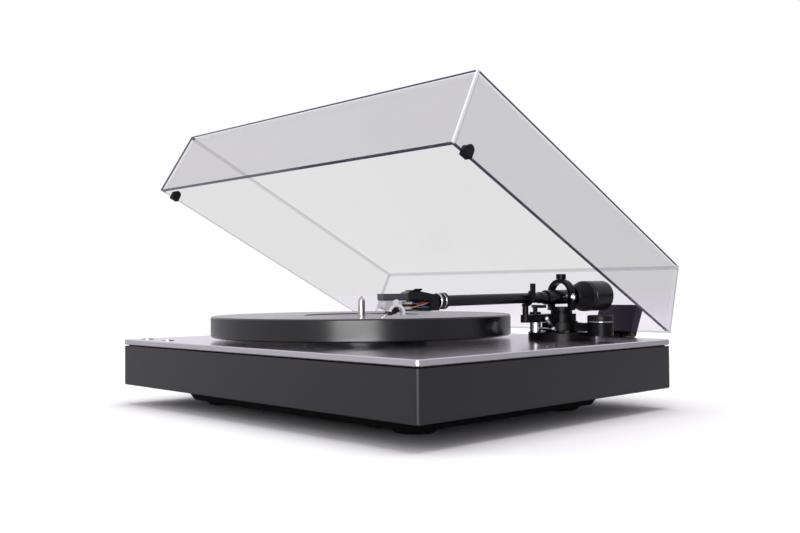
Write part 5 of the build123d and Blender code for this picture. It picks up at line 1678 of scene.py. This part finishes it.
@dataclass
class Studio:
    """Floor, lamps, world and the photograph's camera."""

    floor_size: float = 30.0
    floor_level: float = -0.0002
    floor_colour: Triple = (0.5, 0.5, 0.5)
    floor_gain: float = 1.6
    far_floor_gain: float = 2.9
    far_floor: Span = (0.4, 3.0)
    world_level: float = 0.72
    dark_azimuth: float = math.radians(118.0)
    dark_level: float = 0.1
    dark_sector: Span = (-0.2, 0.85)
    dark_top: Span = (0.07, 0.22)
    light_tint: Triple = (1.0, 0.965, 1.04)
    lens: float = 41.55
    sensor_width: float = 36.0
    clip_span: Span = (0.01, 100.0)
    camera_place: Triple = (0.68276, -0.63411, 0.11646)
    camera_azimuth: float = math.radians(46.20)
    camera_elevation: float = math.radians(-1.45)
    camera_roll: float = math.radians(-0.46)
    lamp_aim: Triple = (0.0, 0.0, 0.08)
    lamps: tuple[Lamp, ...] = (
        Lamp("lamp_left_front", (-1.3, -1.5, 1.1), (1.2, 1.2), 12.0, LampUse.MATT),
        Lamp("lamp_over", (0.0, 0.1, 1.8), (1.6, 1.2), 26.0, LampUse.MATT),
        Lamp("white_card", (1.58, -1.66, 0.45), (1.3, 0.88), 42.0, LampUse.MIRRORED),
    )

    def build(self) -> None:
        """Makes the whole studio."""
        self._world()
        self._floor()
        for lamp in self.lamps:
            self._hang(lamp)
        self._camera()
        bpy.context.scene.view_settings.view_transform = "Standard"

    def _world(self) -> None:
        """Lights from all round, and shows white to the camera and in reflections."""
        world = bpy.data.worlds.new("white_studio")
        bpy.context.scene.world = world
        b = blank_nodes(world)
        path = b.add("ShaderNodeLightPath").outputs
        direct = self._direct(b, path)
        seen = b.math("MAXIMUM", direct, path["Is Glossy Ray"])
        level = b.math("ADD", self.world_level, b.math("MULTIPLY", seen, 1.0 - self.world_level))
        colour = b.mix(direct, opaque(self.light_tint), opaque((1.0, 1.0, 1.0)))
        strength = b.math("MULTIPLY", level, self._dark_side(b, path))
        background = b.add("ShaderNodeBackground")
        b.feed(background, {"Color": colour, "Strength": strength})
        b.finish("ShaderNodeOutputWorld", background)

    def _direct(self, b: NodeBuilder, path: bpy.types.NodeOutputs) -> Socket:
        """A mask of what is seen directly or through the clear cover."""
        return b.math("MAXIMUM", path["Is Camera Ray"], path["Is Transmission Ray"])

    def _dark_side(self, b: NodeBuilder, path: bpy.types.NodeOutputs) -> Socket:
        """The share of the world's light that comes from each direction.

        Args:
            b: the world's node builder.
            path: the outputs of the world's Light Path node.

        Returns:
            A socket that is 1, and less low on the unlit side of the room in reflections.
        """
        place = b.add("ShaderNodeTexCoord").outputs["Generated"]
        dark_way = (math.sin(self.dark_azimuth), -math.cos(self.dark_azimuth), 0.0)
        towards = b.feed(b.add("ShaderNodeVectorMath", operation="DOT_PRODUCT"), {0: place, 1: dark_way})
        sector = b.ramp(towards.outputs["Value"], self.dark_sector, (1.0, self.dark_level))
        height = b.feed(b.add("ShaderNodeSeparateXYZ"), {0: place}).outputs[2]
        high = b.ramp(height, self.dark_top)
        unmirrored = b.math("SUBTRACT", 1.0, path["Is Glossy Ray"])
        return b.math("MAXIMUM", b.math("MAXIMUM", unmirrored, high), sector)

    def _floor(self) -> None:
        """Makes the pale floor, which shows white and keeps the object's shadow."""
        bpy.ops.mesh.primitive_plane_add(size=self.floor_size, location=(0.0, 0.0, self.floor_level))
        floor = bpy.context.active_object
        floor.name = "studio_floor"
        material = bpy.data.materials.new("white_floor")
        b = blank_nodes(material)
        seen = self._direct(b, b.add("ShaderNodeLightPath").outputs)
        place = b.add("ShaderNodeTexCoord").outputs["Object"]
        distance = b.feed(b.add("ShaderNodeVectorMath", operation="LENGTH"), {0: place}).outputs["Value"]
        extra = b.ramp(distance, self.far_floor, (self.floor_gain - 1.0, self.far_floor_gain - 1.0))
        gain = b.math("ADD", 1.0, b.math("MULTIPLY", seen, extra))
        matt = b.feed(b.add("ShaderNodeBsdfDiffuse"), {"Color": b.scale(self.floor_colour, gain)})
        b.finish("ShaderNodeOutputMaterial", matt)
        floor.data.materials.append(material)
        floor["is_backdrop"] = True

    def _hang(self, lamp: Lamp) -> None:
        """Adds one soft area lamp aimed at the object.

        Args:
            lamp: the lamp's name, place, size, power and use.
        """
        data = bpy.data.lights.new(lamp.name, "AREA")
        data.shape = "RECTANGLE"
        data.size, data.size_y = lamp.size
        data.energy = lamp.power
        hung = bpy.data.objects.new(lamp.name, data)
        bpy.context.scene.collection.objects.link(hung)
        hung.visible_diffuse = lamp.use is LampUse.MATT
        hung.visible_glossy = lamp.use is LampUse.MIRRORED
        hung.location = lamp.place
        towards = Vector(self.lamp_aim) - Vector(lamp.place)
        hung.rotation_euler = towards.to_track_quat("-Z", "Y").to_euler()

    def _camera(self) -> None:
        """Sets the camera where the photograph was taken."""
        back = -heading(self.camera_azimuth + math.pi / 2, self.camera_elevation)
        right = (-back).cross(Vector((0.0, 0.0, 1.0))).normalized()
        up = right.cross(-back)
        roll, level = math.sin(self.camera_roll), math.cos(self.camera_roll)
        axes = Matrix((right * level + up * roll, up * level - right * roll, back)).transposed()
        data = bpy.data.cameras.new("photo_camera")
        data.lens = self.lens
        data.sensor_width = self.sensor_width
        data.clip_start, data.clip_end = self.clip_span
        camera = bpy.data.objects.new("photo_camera", data)
        bpy.context.scene.collection.objects.link(camera)
        camera.matrix_world = Matrix.Translation(Vector(self.camera_place)) @ axes.to_4x4()
        bpy.context.scene.camera = camera


def main() -> None:
    """Builds the scene in order."""
    logging.basicConfig(level=logging.INFO, format="%(message)s")
    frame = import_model()
    Studio().build()
    finishes = FinishBook(SurfaceGroups())
    finishes.dress_nodes(frame["nodes"])
    bench = Workbench(finishes)
    for part in (
        CounterweightDial,
        BearingScrews,
        LockingCollar,
        PickupCartridge,
        FingerLift,
        BaseScrews,
        BrightRings,
        SocketRings,
    ):
        part(bench).build()
    bench.clear()
    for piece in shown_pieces():
        log.info("piece %s", piece.name)


if __name__ == "__main__":
    main()
